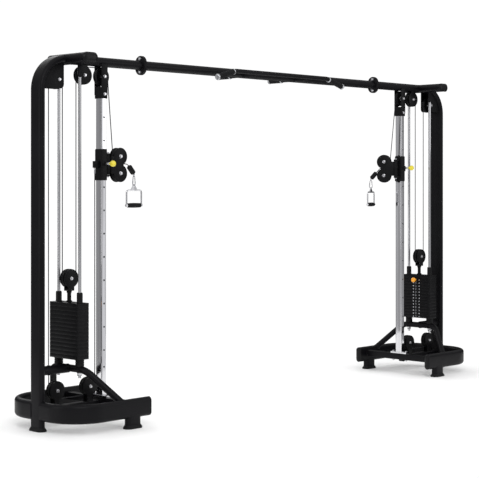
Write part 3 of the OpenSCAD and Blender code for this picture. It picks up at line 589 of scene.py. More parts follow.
def prism(bm, outline, origin, axis_a, axis_b, thickness, edge):
    """A plate with rounded rims: the outline lies on axis_a and axis_b, from origin along a x b."""
    axis_a, axis_b = Vector(axis_a).normalized(), Vector(axis_b).normalized()
    up = axis_a.cross(axis_b)
    rings = []
    for height, step in ((0, edge), (edge * 0.3, edge * 0.3), (edge, 0),
                         (thickness - edge, 0), (thickness - edge * 0.3, edge * 0.3),
                         (thickness, edge)):
        shape = inset(outline, step) if step else outline
        rings.append([Vector(origin) + axis_a * a + axis_b * b + up * height for a, b in shape])
    skin(bm, rings)


def block(bm, low, high, edge, radius):
    """A box with rounded upright corners and rims."""
    low, high = Vector(low), Vector(high)
    size = high - low
    center = (low + high) / 2
    shape = round_rect(size.x, size.y, min(radius, size.x * 0.45, size.y * 0.45))
    prism(bm, shape, (center.x, center.y, low.z), X, Y, size.z, edge)


def weld(bm, points, normal_hint, radius=0.0022):
    """A rippled bead along a closed loop of points."""
    bead_step, bead_sides = 0.0022, 7
    points = [Vector(p) for p in points]
    ends = [0.0]
    for k, p in enumerate(points):
        ends.append(ends[-1] + (points[(k + 1) % len(points)] - p).length)
    count = max(24, int(ends[-1] / bead_step))
    fine, i = [], 0
    for k in range(count):
        at = ends[-1] * k / count
        while ends[i + 1] < at:
            i += 1
        share = (at - ends[i]) / max(1e-9, ends[i + 1] - ends[i])
        fine.append(points[i].lerp(points[(i + 1) % len(points)], share))
    rings = []
    for k, p in enumerate(fine):
        tangent = (fine[(k + 1) % count] - fine[k - 1]).normalized()
        side = tangent.cross(Vector(normal_hint))
        if side.length < 0.05:
            side = tangent.cross(X)
        side.normalize()
        up = side.cross(tangent)
        r = radius * (1.0 + 0.22 * math.sin(k * TAU / 3.0) + 0.06 * math.sin(k * 1.7))
        rings.append([p + side * a + up * b for a, b in circle(r, bead_sides)])
    skin(bm, rings, True)


def hex_bolt(bm, place, axis, width=0.018, height=0.0075):
    """A hexagon head with a chamfered crown, on a washer."""
    axis = Vector(axis).normalized()
    first, second = across(axis)
    place = Vector(place)
    washer_t, washer_r = 0.0016, width * 0.62
    washer = [(0, 0), (0, washer_r), (washer_t, washer_r), (washer_t, 0)]
    lathe(bm, soften(washer, 0.0004), place, axis, 32)
    hexagon = circle(width / math.sqrt(3), 6)
    rings = []
    for h, s in ((0, 1.0), (height * 0.82, 1.0), (height * 0.95, 0.93), (height, 0.82)):
        rings.append([place + axis * (washer_t + h) + first * (a * s) + second * (b * s)
                      for a, b in hexagon])
    skin(bm, rings)
    crown = [(0, width * 0.40), (0.0006, width * 0.37), (0.0008, 0)]
    lathe(bm, crown, place + axis * (washer_t + height), axis, 24)


def bolt_pair(bm, x, z, y=CHEEK_Y, width=0.018, height=0.0075):
    """Heads on both ends of an axle along Y."""
    for s in (-1, 1):
        hex_bolt(bm, (x, s * y, z), Y * s, width, height)


def plate_pair(bm, outline, y, edge=0.0012, x=0, z=0):
    """The same upright plate on both sides of the tower's middle plane, with its outer face at y."""
    for face_y in (y, CHEEK_T - y):
        prism(bm, outline, (x, face_y, z), X, Z, CHEEK_T, edge)


def spacer_pair(bm, x, z, start, end, radius=0.0085, steps=24):
    """Spacers on both sides of a wheel on an axle along Y."""
    for s in (-1, 1):
        lathe(bm, [(start, 0), (start, radius), (end, radius), (end, 0)], (x, 0, z), Y * s, steps)


# ---- pieces ----
def place_straight(bm, side):
    """Mirrors the left tower's piece."""
    if side == "left":
        bmesh.ops.transform(bm, matrix=Matrix.Scale(-1, 4, X), verts=bm.verts)
        bmesh.ops.reverse_faces(bm, faces=bm.faces)


def turned_about(x, angle):
    """The turn by an angle about the upright line through x."""
    about = Matrix.Translation((x, 0, 0))
    return about @ Matrix.Rotation(angle, 4, "Z") @ about.inverted()


def place_swivelled(bm, side, hung=False, turned=False):
    """Moves what was built straight ahead to where the tower's bracket and handle stand."""
    place_straight(bm, side)
    if side == "right":
        steps = [turned_about(EYE.x, RIGHT_TURN)] if turned else []
        steps += [Matrix.Translation(RIGHT_HANG)] if hung else []
        for matrix in steps + [turned_about(HINGE_X, -RIGHT_SWIVEL)]:
            bmesh.ops.transform(bm, matrix=matrix, verts=bm.verts)


RIGHT_HANG = Vector((RIGHT_EXIT_SHIFT - RIGHT_EXIT_RUN * math.cos(EXIT_ANGLE), 0,
                     -RIGHT_EXIT_RUN * math.sin(EXIT_ANGLE)))


def at_bracket(point, side):
    """Where a point of the straight-ahead bracket is on that tower."""
    if side == "right":
        return turned_about(HINGE_X, -RIGHT_SWIVEL) @ Vector(point)
    return Vector(point) * Vector((-1, 1, 1))


def finish_piece(name, bm, materials, body, replaced=(), sharp=32):
    """Turns a bmesh into a smooth-shaded piece that rides on a body named by a string, and otherwise stays
    where it was built.
    """
    bmesh.ops.recalc_face_normals(bm, faces=bm.faces)
    limit = math.radians(sharp)
    for face in bm.faces:
        face.smooth = True
    for edge in bm.edges:
        if len(edge.link_faces) == 2:
            edge.smooth = edge.calc_face_angle(0) < limit
    mesh = bpy.data.meshes.new(name)
    bm.to_mesh(mesh)
    bm.free()
    piece = bpy.data.objects.new(name, mesh)
    bpy.context.scene.collection.objects.link(piece)
    for key in materials if isinstance(materials, (list, tuple)) else [materials]:
        mesh.materials.append(FINISHES[key])
    if replaced:
        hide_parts(*replaced)
    if isinstance(body, str):
        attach(piece, body)
    else:
        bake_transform(piece)


def tower_piece(name, build, materials, body, slot, replaced=(), mover=place_straight, sharp=32):
    """Builds one piece for each tower. {side} in names stands for left or right."""
    for side in SIDES:
        bm = bmesh.new()
        build(bm, side)
        mover(bm, side)
        where = body.format(side=side) if isinstance(body, str) else body
        finish_piece(f"{side}_{name}", bm, materials, where,
                     [r.format(side=side) for r in replaced], sharp)


def hung_mover(bm, side):
    place_swivelled(bm, side, hung=True)


def turned_mover(bm, side):
    place_swivelled(bm, side, hung=True, turned=True)


# ---- base and uprights ----
def mirrored_y(points):
    return [Vector((p[0], -p[1], p[2])) for p in points]


def base_loop(bm, side):
    half = rounded_path([(ARM_END_X, -ARM_Y, BASE_Z), (UPRIGHT_X, -ARM_Y, BASE_Z),
                         (UPRIGHT_X, -0.040, BASE_Z)], BASE_CORNER_R, 22)
    shape = swap(flat_oval(BASE_H, BASE_W, 16))
    for path in (half, mirrored_y(half)):
        sweep(bm, path, shape, Z)


def base_legs(bm, side):
    for y in (-ARM_Y, ARM_Y):
        sweep(bm, [(LEG_X, y, PAD_H), (LEG_X, y, 0.085)], flat_oval(LEG_L, BASE_W, 16), Y)


def square_tube(bm, start, end):
    sweep(bm, [start, end], round_rect(CROSSBAR_W, CROSSBAR_W, 0.005), Z)


def base_crossbar(bm, side):
    y = ARM_Y - BASE_W / 2 + 0.002
    square_tube(bm, (COLUMN_X, -y, CROSSBAR_Z), (COLUMN_X, y, CROSSBAR_Z))


def base_spine(bm, side):
    square_tube(bm, (COLUMN_X + 0.02, 0, SPINE_Z), (UPRIGHT_FACE, 0, SPINE_Z))


def upright(bm, side):
    corner = [(UPRIGHT_X, 0, PAD_H), (UPRIGHT_X, 0, BEAM_Z), (TOP_TUBE_X + 0.04, 0, BEAM_Z)]
    sweep(bm, rounded_path(corner, BEND_R, 32), swap(flat_oval(UPRIGHT_D, UPRIGHT_W, 16)), Y)


def hoop_points():
    foot_x, foot_z = COLUMN_X + 0.116, BASE_Z + (BASE_H - BASE_W) / 2
    return [Vector((foot_x, -ARM_Y, foot_z)), Vector((STACK_X, -HOOP_HALF, HOOP_Z)),
            Vector((STACK_X, HOOP_HALF, HOOP_Z)), Vector((foot_x, ARM_Y, foot_z))]


def hoop(bm, side):
    points = hoop_points()
    normal = (points[1] - points[0]).cross(Y)
    tube(bm, rounded_path(points, 0.105, 18), HOOP_R, normal, 28)


def tie(bm, side):
    tube(bm, [(STACK_X + 0.008, 0, HOOP_Z), (UPRIGHT_FACE, 0, HOOP_Z)], TIE_R, Y, 36)


def tie_grommets(bm, side):
    ring = soften([(-0.0045, 0.0045), (0.0030, 0.0045), (0.0030, 0.0095), (-0.0045, 0.0120)], 0.001)
    for up in (1, -1):
        lathe_ring(bm, ring, (OUTER_X + SHEAVE_R, 0, HOOP_Z + up * (TIE_R - 0.001)), Z * up, 28)


def ring_points(center, axis, radius):
    first, second = across(axis)
    return [Vector(center) + first * a + second * b for a, b in circle(radius, 40)]


def base_welds(bm):
    """Beads at the crossbar, the spine, the legs and where the upright goes through the base."""
    square = round_rect(CROSSBAR_W + 0.001, CROSSBAR_W + 0.001, 0.005)
    for x in (COLUMN_X + CROSSBAR_W / 2, UPRIGHT_FACE):
        weld(bm, [(x, a, SPINE_Z + b) for a, b in square], X)
    round_r = BASE_W / 2
    for s in (-1, 1):
        weld(bm, [(COLUMN_X + a, s * (ARM_Y - round_r), CROSSBAR_Z + b) for a, b in square], Y)
        weld(bm, [(LEG_X + a, s * ARM_Y + b,
                   BASE_Z - BASE_H / 2 + round_r - math.sqrt(max(0, round_r ** 2 - b * b)))
                  for a, b in flat_oval(LEG_L + 0.001, BASE_W - 0.004, 14)], Z)
        weld(bm, [(UPRIGHT_X + b * 0.9, s * 0.0545, BASE_Z + a)
                  for a, b in flat_oval(BASE_H, BASE_W - 0.004, 14)], Y)


def hoop_welds(bm):
    """Beads at the tie's end and where the hoop's legs meet the arms' round tops."""
    weld(bm, ring_points((UPRIGHT_FACE, 0, HOOP_Z), X, TIE_R + 0.0005), X)
    points = hoop_points()
    for foot, corner in ((points[0], points[1]), (points[3], points[2])):
        d = (foot - corner).normalized()
        loop = []
        for p in ring_points(foot - d * 0.08, d, HOOP_R):
            # meet the cylinder along X with centre (foot.y, foot.z) and the arm's round radius
            oy, oz = p.y - foot.y, p.z - foot.z
            qa, qb = d.y ** 2 + d.z ** 2, oy * d.y + oz * d.z
            qc = oy ** 2 + oz ** 2 - (BASE_W / 2) ** 2
            root = math.sqrt(max(0.0, qb * qb - qa * qc))
            loop.append(p + d * ((-qb - root) / qa))
        weld(bm, loop, Z)


def top_welds(bm):
    """Beads of the crossbeam stub, the upright and the rod holders on the top tube, and at the flange."""
    def on_tube(p, s):
        """The point on the tube's round side, inner (-1) or outer (1), level with p."""
        dz = max(-BEAM_R, min(BEAM_R, p.z - BEAM_Z))
        return Vector((TOP_TUBE_X + s * (0.029 + math.sqrt(BEAM_R ** 2 - dz ** 2)), p.y, p.z))
    weld(bm, [on_tube(p, -1) for p in ring_points((TOP_TUBE_X, 0, BEAM_Z), X, BEAM_R - 0.001)], X)
    end = flat_oval(UPRIGHT_D, UPRIGHT_W, 14)
    weld(bm, [on_tube(Vector((0, a, BEAM_Z + b)), 1) for a, b in end], X)
    weld(bm, ring_points((FLANGE_X + FLANGE_T + 0.0005, 0, BEAM_Z), X, BEAM_R + 0.0005), X)
    for y in (-ROD_Y, ROD_Y):
        weld(bm, ring_points((STACK_X, y, BEAM_Z - BEAM_R), Z, 0.0150), Z, 0.0018)


def frame_welds(bm, side):
    for build in (base_welds, hoop_welds, top_welds):
        build(bm)


def foot_pad(bm, x, y, length, width, swapped=False):
    """Flared rubber shoe with a groove above its rim."""
    rings = []
    for z, grow in ((0, 0.019), (0.0015, 0.0225), (0.0060, 0.0230), (0.0095, 0.0215),
                    (0.0108, 0.0190), (0.0122, 0.0190), (0.0140, 0.0150), (0.0185, 0.0085),
                    (PAD_H, 0.0065)):
        shape = flat_oval(length + grow, width + grow, 14)
        if swapped:
            shape = swap(shape)
        rings.append([(x + a, y + b, z) for a, b in shape])
    skin(bm, rings)


def foot_pads(bm, side):
    for y in (-ARM_Y, ARM_Y):
        foot_pad(bm, LEG_X, y, LEG_L, BASE_W)
    foot_pad(bm, UPRIGHT_X, 0, UPRIGHT_D, UPRIGHT_W, True)


def domed_cap(bm, center, axis_a, axis_b, length, width, depth):
    """Plug in the end of a flat-oval tube, with a lip and a low dome."""
    out = axis_a.cross(axis_b)
    rings = []
    for h, shrink in ((-0.002, 0.0016), (0.0, 0.0), (0.0030, 0.0), (0.0040, 0.0012),
                      (0.0042, 0.0030), (0.0052, 0.0050), (depth * 0.78, 0.0110),
                      (depth * 0.93, 0.0180), (depth, 0.0290)):
        shape = flat_oval(length - 2 * shrink, width - 2 * min(shrink, width * 0.46), 14)
        rings.append([Vector(center) + axis_a * a + axis_b * b + out * h for a, b in shape])
    skin(bm, rings)


def end_caps(bm, side):
    for y in (-ARM_Y, ARM_Y):
        domed_cap(bm, (ARM_END_X, y, BASE_Z), Z, Y, BASE_H, BASE_W, 0.0130)
    domed_cap(bm, (TOP_TUBE_X, TOP_TUBE_BACK, BEAM_Z), -X, Z, TOP_TUBE_W, 2 * BEAM_R, 0.010)
    domed_cap(bm, (TOP_TUBE_X, TOP_TUBE_FRONT, BEAM_Z), X, Z, 0.1225, 0.0650, 0.014)


# ---- crossbeam ----
def flange(bm, x):
    prism(bm, swap(flat_oval(FLANGE_H, FLANGE_W, 16)), (x, 0, BEAM_Z), Y, Z, FLANGE_T, 0.0012)


def top_tube(bm, side):
    sweep(bm, [(TOP_TUBE_X, TOP_TUBE_FRONT, BEAM_Z), (TOP_TUBE_X, TOP_TUBE_BACK, BEAM_Z)],
          flat_oval(TOP_TUBE_W, 2 * BEAM_R, 18), Z)
    tube(bm, [(FLANGE_X + 0.002, 0, BEAM_Z), (TOP_TUBE_X - 0.03, 0, BEAM_Z)], BEAM_R, Y, 40)
    flange(bm, FLANGE_X)
    for y in (-ROD_Y, ROD_Y):
        lathe(bm, soften([(0, 0), (0, 0.0135), (0.004, 0.0145), (0.020, 0.0145), (0.024, 0.0135),
                          (0.095, 0.0135)], 0.0015), (STACK_X, y, BEAM_Z - 0.117), Z, 32)


def center_beam(bm):
    tube(bm, [(-FLANGE_X + 0.002, 0, BEAM_Z), (FLANGE_X - 0.002, 0, BEAM_Z)], BEAM_R, Y, 40)
    for x in (FLANGE_X - FLANGE_T, -FLANGE_X):
        flange(bm, x)


def center_welds(bm):
    for s in (-1, 1):
        x = s * (FLANGE_X - FLANGE_T - 0.0005)
        weld(bm, [(x, a, BEAM_Z + b) for a, b in circle(BEAM_R + 0.0005, 40)], X)
        for front in (-1, 1):
            loop = []
            for a, b in circle(BAR_R, 36):
                z = CROSS_Z + b
                loop.append((s * CROSS_X + a, front * math.sqrt(max(0, BEAM_R ** 2 - (z - BEAM_Z) ** 2)), z))
            weld(bm, loop, Y, 0.0019)


def pull_up_bar(bm):
    tip_z = BEAM_Z - BAR_DROP
    points = [(-BAR_END, -BAR_Y, tip_z), (-BAR_HALF, -BAR_Y, BEAM_Z),
              (BAR_HALF, -BAR_Y, BEAM_Z), (BAR_END, -BAR_Y, tip_z)]
    tube(bm, rounded_path(points, 0.10, 8), BAR_R, Y, 28)
    for s in (-1, 1):
        tube(bm, [(s * CROSS_X, -BAR_Y, CROSS_Z), (s * CROSS_X, CROSS_BACK, CROSS_Z)], BAR_R, Z, 28)


def ribbed_sleeve(length, radius, bore):
    """Closed profile of a rubber sleeve with fine rings, from 0 back to -length."""
    groove, pitch = 0.0009, 0.0052
    profile = [(-length, bore), (-length, radius - 0.0006), (-length + 0.0015, radius)]
    count = int((length - 0.012) / pitch)
    for k in range(count):
        at = -length + 0.006 + k * pitch
        profile += [(at, radius), (at + 0.0010, radius - groove), (at + 0.0020, radius - groove),
                    (at + 0.0030, radius)]
    return profile + [(-0.0015, radius), (0, radius - 0.0006), (0, bore)]


def grip_places():
    """(name, end point, direction, length) of each pull-up grip."""
    out = []
    for side, s in zip(SIDES, (-1, 1)):
        bend, tip = Vector((s * BAR_HALF, -BAR_Y, BEAM_Z)), Vector((s * BAR_END, -BAR_Y, BEAM_Z - BAR_DROP))
        out.append((f"{side}_sloping", tip, (tip - bend).normalized(), 0.92 * (tip - bend).length))
        out.append((f"{side}_rear", Vector((s * CROSS_X, CROSS_BACK, CROSS_Z)), Y, 0.125))
    return out


def make_pull_up_grips():
    bore, rim_r = BAR_R + 0.0002, 0.0215
    collar = [(0, bore), (0, 0.0205), (0.0090, rim_r), (0.0090, bore)]
    cap = [(-0.0085, 0), (-0.0085, 0.0205), (-0.0070, rim_r), (0.0030, rim_r), (0.0052, 0.0195),
           (0.0060, 0.0160), (0.0058, 0.0120), (0.0050, 0.0105), (0.0052, 0)]
    for name, end, along, length in grip_places():
        bm = bmesh.new()
        lathe_ring(bm, ribbed_sleeve(length - 0.009, 0.0198, bore), end, along, 40)
        finish_piece(f"{name}_grip", bm, "rubber", "root", ["pull_up_grips"], 45)
        bm = bmesh.new()
        lathe_ring(bm, soften(collar, 0.001), end - along * length, along, 40)
        lathe(bm, soften(cap, 0.0008), end, along, 40)
        finish_piece(f"{name}_grip_collars", bm, "alloy", "root", ["pull_up_grips"])


# ---- bolts ----
def flange_bolts(bm, side):
    for z in (BEAM_Z - 0.043, BEAM_Z + 0.043):
        hex_bolt(bm, (FLANGE_X + FLANGE_T, 0, z), X, height=0.008)
        hex_bolt(bm, (FLANGE_X - FLANGE_T, 0, z), -X, height=0.007)


def column_bolts(bm, side):
    """Bolts through the column's foot plate and the crossbar, with their ends below the nuts."""
    crossbar_bottom = CROSSBAR_TOP - CROSSBAR_W
    for y in (-FOOT_BOLT_Y, FOOT_BOLT_Y):
        hex_bolt(bm, (COLUMN_X, y, FOOT_PLATE_TOP), Z, 0.017, 0.0065)
        hex_bolt(bm, (COLUMN_X, y, crossbar_bottom), -Z, 0.017)
        lathe(bm, [(0, 0), (0, 0.0050), (0.003, 0.0050), (0.0038, 0.0042), (0.0040, 0)],
              (COLUMN_X, y, crossbar_bottom - 0.0085), -Z, 20)


def bracket_bolts(bm, side):
    for x, z, y in ((COLUMN_X, HEAD_BOLT_Z, HEAD_PLATE_Y), (COLUMN_X, UPPER_Z, HEAD_PLATE_Y),
                    (MIDDLE_X, UPPER_Z, CHEEK_Y), (OUTER_X, OUTER_Z, GUSSET_Y + 0.0005),
                    (OUTER_X, BOTTOM_Z, CHEEK_Y), (INNER_X, BOTTOM_Z, CHEEK_Y)):
        bolt_pair(bm, x, z, y)


def stack_fork_bolts(bm, side):
    bolt_pair(bm, STACK_X, STACK_PULLEY_Z)


def rod_nuts(bm, side):
    for y in (-ROD_Y, ROD_Y):
        hex_bolt(bm, (STACK_X, y, HOOP_Z - HOOP_R + 0.0005), -Z, 0.030, 0.016)


# ---- brackets ----
def head_bracket(bm, side):
    """Sleeve on the column with a plate on each side of the head pulley."""
    sleeve = round_rect(COLUMN_W + 0.010, COLUMN_D + 0.012, 0.005)
    prism(bm, sleeve, (COLUMN_X, 0, HEAD_SLEEVE_Z), X, Y, HEAD_SLEEVE_H, 0.0012)
    plate = round_rect(COLUMN_W + 0.0112, HEAD_PLATE_H, 0.006)
    plate_pair(bm, plate, HEAD_PLATE_Y, 0.0010, COLUMN_X, HEAD_PLATE_Z)
    spacer_pair(bm, COLUMN_X, UPPER_Z, 0.0115, HEAD_PLATE_Y - CHEEK_T - 0.0001, 0.010, 28)


def gussets(bm, side):
    """Plates in the upright's bend, round at their inner lower corner."""
    x0, z0, corner = OUTER_X - 0.037, OUTER_Z - 0.056, 0.027
    r = BEND_R - UPRIGHT_W / 2
    bend_x, bend_z = UPRIGHT_X - BEND_R, BEAM_Z - BEND_R
    top = math.degrees(math.acos((x0 - bend_x) / r))
    outline = arc((bend_x, bend_z), r, 5, top, 18) + [(x0, z0 + corner)]
    outline += arc((x0 + corner, z0 + corner), corner, 187, 270, 8) + [(UPRIGHT_FACE, z0)]
    plate_pair(bm, outline, GUSSET_Y, 0.0008)
    spacer_pair(bm, OUTER_X, OUTER_Z, 0.0115, GUSSET_Y - CHEEK_T + 0.0005, 0.010, 28)


def cheek_outline(x, z, base_z):
    """Round plate about an axle at (x, z), with a foot that ends at base_z."""
    half = 0.024
    start = math.degrees(math.asin(half / CHEEK_R))
    if base_z > z:
        return arc((x, z), CHEEK_R, 90 + start, 450 - start, 44) + [(x + half, base_z), (x - half, base_z)]
    return arc((x, z), CHEEK_R, start - 90, 270 - start, 44) + [(x - half, base_z), (x + half, base_z)]


def cheek_pair(bm, x, z, base_z):
    """Cheek plates on both sides of a pulley, with the spacers on its axle."""
    plate_pair(bm, cheek_outline(x, z, base_z), CHEEK_Y)
    spacer_pair(bm, x, z, 0.0112, CHEEK_Y - CHEEK_T + 0.0003)


def pulley_lugs(bm, side):
    for x, z, base_z in ((MIDDLE_X, UPPER_Z, BEAM_Z - 0.026), (OUTER_X, BOTTOM_Z, SPINE_TOP),
                         (INNER_X, BOTTOM_Z, SPINE_TOP)):
        cheek_pair(bm, x, z, base_z)


# ---- pulleys ----
def pulley(bm, x, z, cable_r, rim, width):
    """Grooved wheel with a ribbed web on both sides."""
    half, lip = width / 2, width / 2 - 0.0028
    groove, flank, steps = CABLE_R + 0.0006, 32, 8
    wall = [(-groove * b, cable_r - groove * a) for a, b in arc((0, 0), 1, 90 - flank, flank - 90, steps)]
    face = [(half, 0.0165), (half, 0.0185), (half - 0.0045, 0.0205), (half - 0.0045, cable_r - 0.0130),
            (half - 0.0012, cable_r - 0.0095), (half, cable_r - 0.0080), (half, rim - 0.0020),
            (half - 0.0012, rim), (lip, rim)]
    body = [(-h, r) for h, r in face] + wall + list(reversed(face))
    lathe_ring(bm, soften(body + [body[0]], 0.0006)[:-1], (x, 0, z), Y, 56)
    r0, r1, ribs = 0.0190, cable_r - 0.0110, 6
    shape = round_rect(r1 - r0, 0.0040, 0.0018, 3)
    for s in (-1, 1):
        for k in range(ribs):
            a = TAU * (k + 0.25) / ribs
            out = Vector((math.cos(a), 0, math.sin(a)))
            flat = out.cross(Y)
            middle = Vector((x, s * (half - 0.0046), z)) + out * ((r0 + r1) / 2)
            prism(bm, shape, middle, out, flat if s * out.cross(flat).y > 0 else -flat, 0.0040, 0.0006)


def hub(bm, x, z, width):
    """Steel bearing with its seal, set a little below the pulley's face."""
    half = width / 2
    profile = [(0, 0), (0, 0.0050), (half - 0.0018, 0.0050), (half - 0.0018, 0.0072),
               (half - 0.0030, 0.0078), (half - 0.0030, 0.0128), (half - 0.0018, 0.0134),
               (half - 0.0018, 0.0166), (0, 0.0166)]
    for s in (-1, 1):
        lathe(bm, soften(profile, 0.0004), (x, 0, z), Y * s, 40)


PULLEYS = (("head", COLUMN_X, UPPER_Z), ("middle", MIDDLE_X, UPPER_Z), ("outer", OUTER_X, OUTER_Z),
           ("bottom_outer", OUTER_X, BOTTOM_Z), ("bottom_inner", INNER_X, BOTTOM_Z),
           ("stack", STACK_X, STACK_PULLEY_Z))


def make_wheel(name, body, node, x, z, sizes, mover=place_straight):
    """One grooved wheel and its bearing on each tower. sizes are cable radius, rim radius and width."""
    tower_piece(name, lambda bm, side: pulley(bm, x, z, *sizes), "nylon", body, "pulley_nylon",
                [node], mover)
    tower_piece(name.replace("wheel", "bearing"), lambda bm, side: hub(bm, x, z, sizes[-1]), "zinc",
                body, "zinc_steel", (), mover)


def make_pulleys():
    for name, x, z in PULLEYS:
        make_wheel(f"{name}_pulley_wheel", "{side}_" + name + "_wheel", "{side}_" + name + "_pulley",
                   x, z, (SHEAVE_R, RIM_R, SHEAVE_W))
    for name, up in (("upper", 1), ("lower", -1)):
        make_wheel(f"{name}_carriage_wheel", "{side}_" + name + "_carriage_wheel",
                   "{side}_" + name + "_carriage_pulley", SMALL_X, CARRIAGE_Z + up * PULLEY_GAP / 2,
                   (SMALL_R, SMALL_RIM_R, SMALL_W), place_swivelled)


# ---- column ----
def column_holes(bm, side):
    """Pressed rims of the adjustment holes, with flat black discs in them as painted shade of the holes'
    insides.
    """
    rim = [(-0.0004, 0.0063), (0.00015, 0.0063), (0.00020, 0.0072), (0.0000, 0.0078), (-0.0004, 0.0078)]
    # painted shade: a flat black disc filling the mouth of each hole
    shade_disc = [(-0.0020, 0), (-0.0020, 0.0064), (0.0001, 0.0064), (0.0001, 0)]
    for z in [PIN_Z + k * HOLE_PITCH for k in range(-8, 3)] + [LOWEST_HOLE_Z]:
        place = (COLUMN_X, -COLUMN_D / 2, z)
        lathe_ring(bm, rim, place, -Y, 28)
        lathe(bm, shade_disc, place, -Y, 28, 1)


# ---- weight stack ----
def guide_rods(bm, side):
    rod = [(0, 0), (0, 0.0080), (0.0012, ROD_R), (ROD_L, ROD_R), (ROD_L, 0)]
    for y in (-ROD_Y, ROD_Y):
        lathe(bm, rod, (STACK_X, y, ROD_FOOT_Z), Z, 36)


def bumpers(bm, side):
    low = HOOP_Z + 0.015 - STACK_Z
    ribs = [(low, 0.012), (low, 0.0265), (-0.0380, 0.0280), (-0.0290, 0.0280), (-0.0265, 0.0255),
            (-0.0240, 0.0280), (-0.0160, 0.0280), (-0.0135, 0.0255), (-0.0110, 0.0280),
            (-0.0020, 0.0280), (-0.0002, 0.0260), (-0.0002, 0.012)]
    for y in (-ROD_Y, ROD_Y):
        lathe(bm, soften(ribs, 0.0010), (STACK_X, y, STACK_Z), Z, 40)


def plate(bm, z, height):
    """One iron plate with rounded rims."""
    prism(bm, round_rect(PLATE_W, PLATE_L, 0.006, 5), (STACK_X, 0, z), X, Y, height, 0.0022)


def weight_plates(bm, side):
    for k in range(RESTING):
        plate(bm, STACK_Z + k * PLATE_PITCH, PLATE_PITCH - PLATE_GAP)


def plate_marks(bm, levels):
    """Silver level dots on the inner face, and the rims of the selector holes with flat black discs in them
    as painted shade of the holes' insides.
    """
    dot = [(-0.0005, 0), (-0.0005, 0.0048), (0.0004, 0.0048), (0.0007, 0.0040), (0.0007, 0)]
    rim = [(-0.001, 0.0055), (0.0006, 0.0055), (0.0006, 0.0070), (-0.001, 0.0070)]
    # painted shade: a flat black disc where each selector hole's hollow would be
    hole_shade = [(-0.001, 0), (-0.001, 0.0055), (0.0003, 0.0055), (0.0003, 0)]
    for k in levels:
        z = STACK_Z + k * PLATE_PITCH + PLATE_HOLE_RISE
        for y in (-0.034, 0.025):
            lathe(bm, dot, (STACK_FACE, y, z), -X, 20)
        lathe_ring(bm, rim, (STACK_FACE, 0, z), -X, 24)
        lathe(bm, hole_shade, (STACK_FACE, 0, z), -X, 24, 1)


def stack_head(bm, side):
    plate(bm, MOVING_Z, PLATE_PITCH - PLATE_GAP)
    plate(bm, HEAD_Z, HEAD_T)


def head_bushings(bm, side):
    for y in (-ROD_Y, ROD_Y):
        bush = [(0, 0.0103), (0, 0.0205), (0.004, 0.0205), (0.005, 0.0190), (0.058, 0.0190),
                (0.062, 0.0175), (0.065, 0.0165), (0.065, 0.0103)]
        lathe_ring(bm, soften(bush, 0.001), (STACK_X, y, HEAD_TOP), Z, 40)


def lift_stem(bm, side):
    lathe(bm, soften([(0, 0), (0, 0.0195), (0.009, 0.0195), (0.011, 0.0130), (0.060, 0.0130),
                      (0.060, 0.0165), (0.072, 0.0165), (0.072, 0)], 0.001), (STACK_X, 0, HEAD_TOP), Z, 36)
    block(bm, (STACK_X - 0.025, -0.0228, FORK_Z), (STACK_X + 0.025, 0.0228, FORK_Z + 0.013), 0.001, 0.004)
    cheek_pair(bm, STACK_X, STACK_PULLEY_Z, FORK_Z + 0.001)


def selector_shaft(bm, side):
    shaft = [(0, 0), (0.0010, 0.0035), (0.0030, 0.00475), (0.060, 0.00475), (0.060, 0)]
    lathe(bm, shaft, (SELECTOR_X + PLATE_W / 2 + 0.014, 0, SELECTOR_Z), -X, 28)


def selector_knob(bm, side):
    knob = [(0, 0), (0, 0.0095), (0.002, 0.0110), (0.006, 0.0100), (0.011, 0.0100), (0.016, 0.0150),
            (0.021, 0.0188), (0.027, 0.0200), (0.033, 0.0188), (0.037, 0.0155), (0.0395, 0.0090),
            (0.0400, 0)]
    lathe(bm, knob, (SELECTOR_X, 0, SELECTOR_Z), -X, 44)


# ---- carriage ----
def carriage(bm, side):
    """Sleeve round the column, with hinge lugs, the cable anchor and the pop pin's boss."""
    outer = round_rect(CARRIAGE_W, CARRIAGE_D, 0.006)
    inner = round_rect(COLUMN_W + 0.0008, COLUMN_D + 0.0008, 0.0074)
    low = CARRIAGE_Z - CARRIAGE_H / 2
    rim = inset(outer, 0.0015)
    rings = []
    for shape, h in ((inner, 0.001), (rim, 0), (outer, 0.0015), (outer, CARRIAGE_H - 0.0015),
                     (rim, CARRIAGE_H), (inner, CARRIAGE_H - 0.001)):
        rings.append([(COLUMN_X + a, b, low + h) for a, b in shape])
    skin(bm, rings, True)
    lug_t, lug_r = 0.012, 0.016
    lug_x = COLUMN_X - CARRIAGE_W / 2 + 0.002
    lug = [(lug_x, -lug_r), (lug_x, lug_r)] + arc((HINGE_X, 0), lug_r, 90, 270, 16)
    for z in (CARRIAGE_Z - HINGE_BOLT_RISE, CARRIAGE_Z + HINGE_BOLT_RISE - lug_t):
        prism(bm, lug, (0, 0, z), X, Y, lug_t, 0.0010)
    anchor_x = COLUMN_X + CARRIAGE_W / 2 - 0.002
    block(bm, (anchor_x, -0.012, CARRIAGE_Z - 0.020), (anchor_x + 0.041, 0.012, CARRIAGE_Z + 0.023),
          0.0012, 0.004)
    boss = [(0, 0), (0, 0.0150), (0.002, 0.0150), (0.004, 0.0120), (0.0215, 0.0120), (0.0235, 0.0105),
            (0.0235, 0)]
    lathe(bm, soften(boss, 0.0006), (COLUMN_X, -CARRIAGE_D / 2 + 0.0005, PIN_Z), -Y, 36)


def carriage_liner(bm, side):
    """Black plastic bushes that show at the sleeve's two ends."""
    outer = round_rect(COLUMN_W + 0.0065, COLUMN_D + 0.0065, 0.0075)
    inner = round_rect(COLUMN_W + 0.0014, COLUMN_D + 0.0014, 0.0072)
    for up in (-1, 1):
        z0, z1 = sorted(CARRIAGE_Z + up * (CARRIAGE_H / 2 + out) for out in (-0.004, 0.0028))
        rings = [[(COLUMN_X + a, b, z) for a, b in shape]
                 for shape, z in ((inner, z0), (outer, z0), (outer, z1), (inner, z1))]
        skin(bm, rings, True)


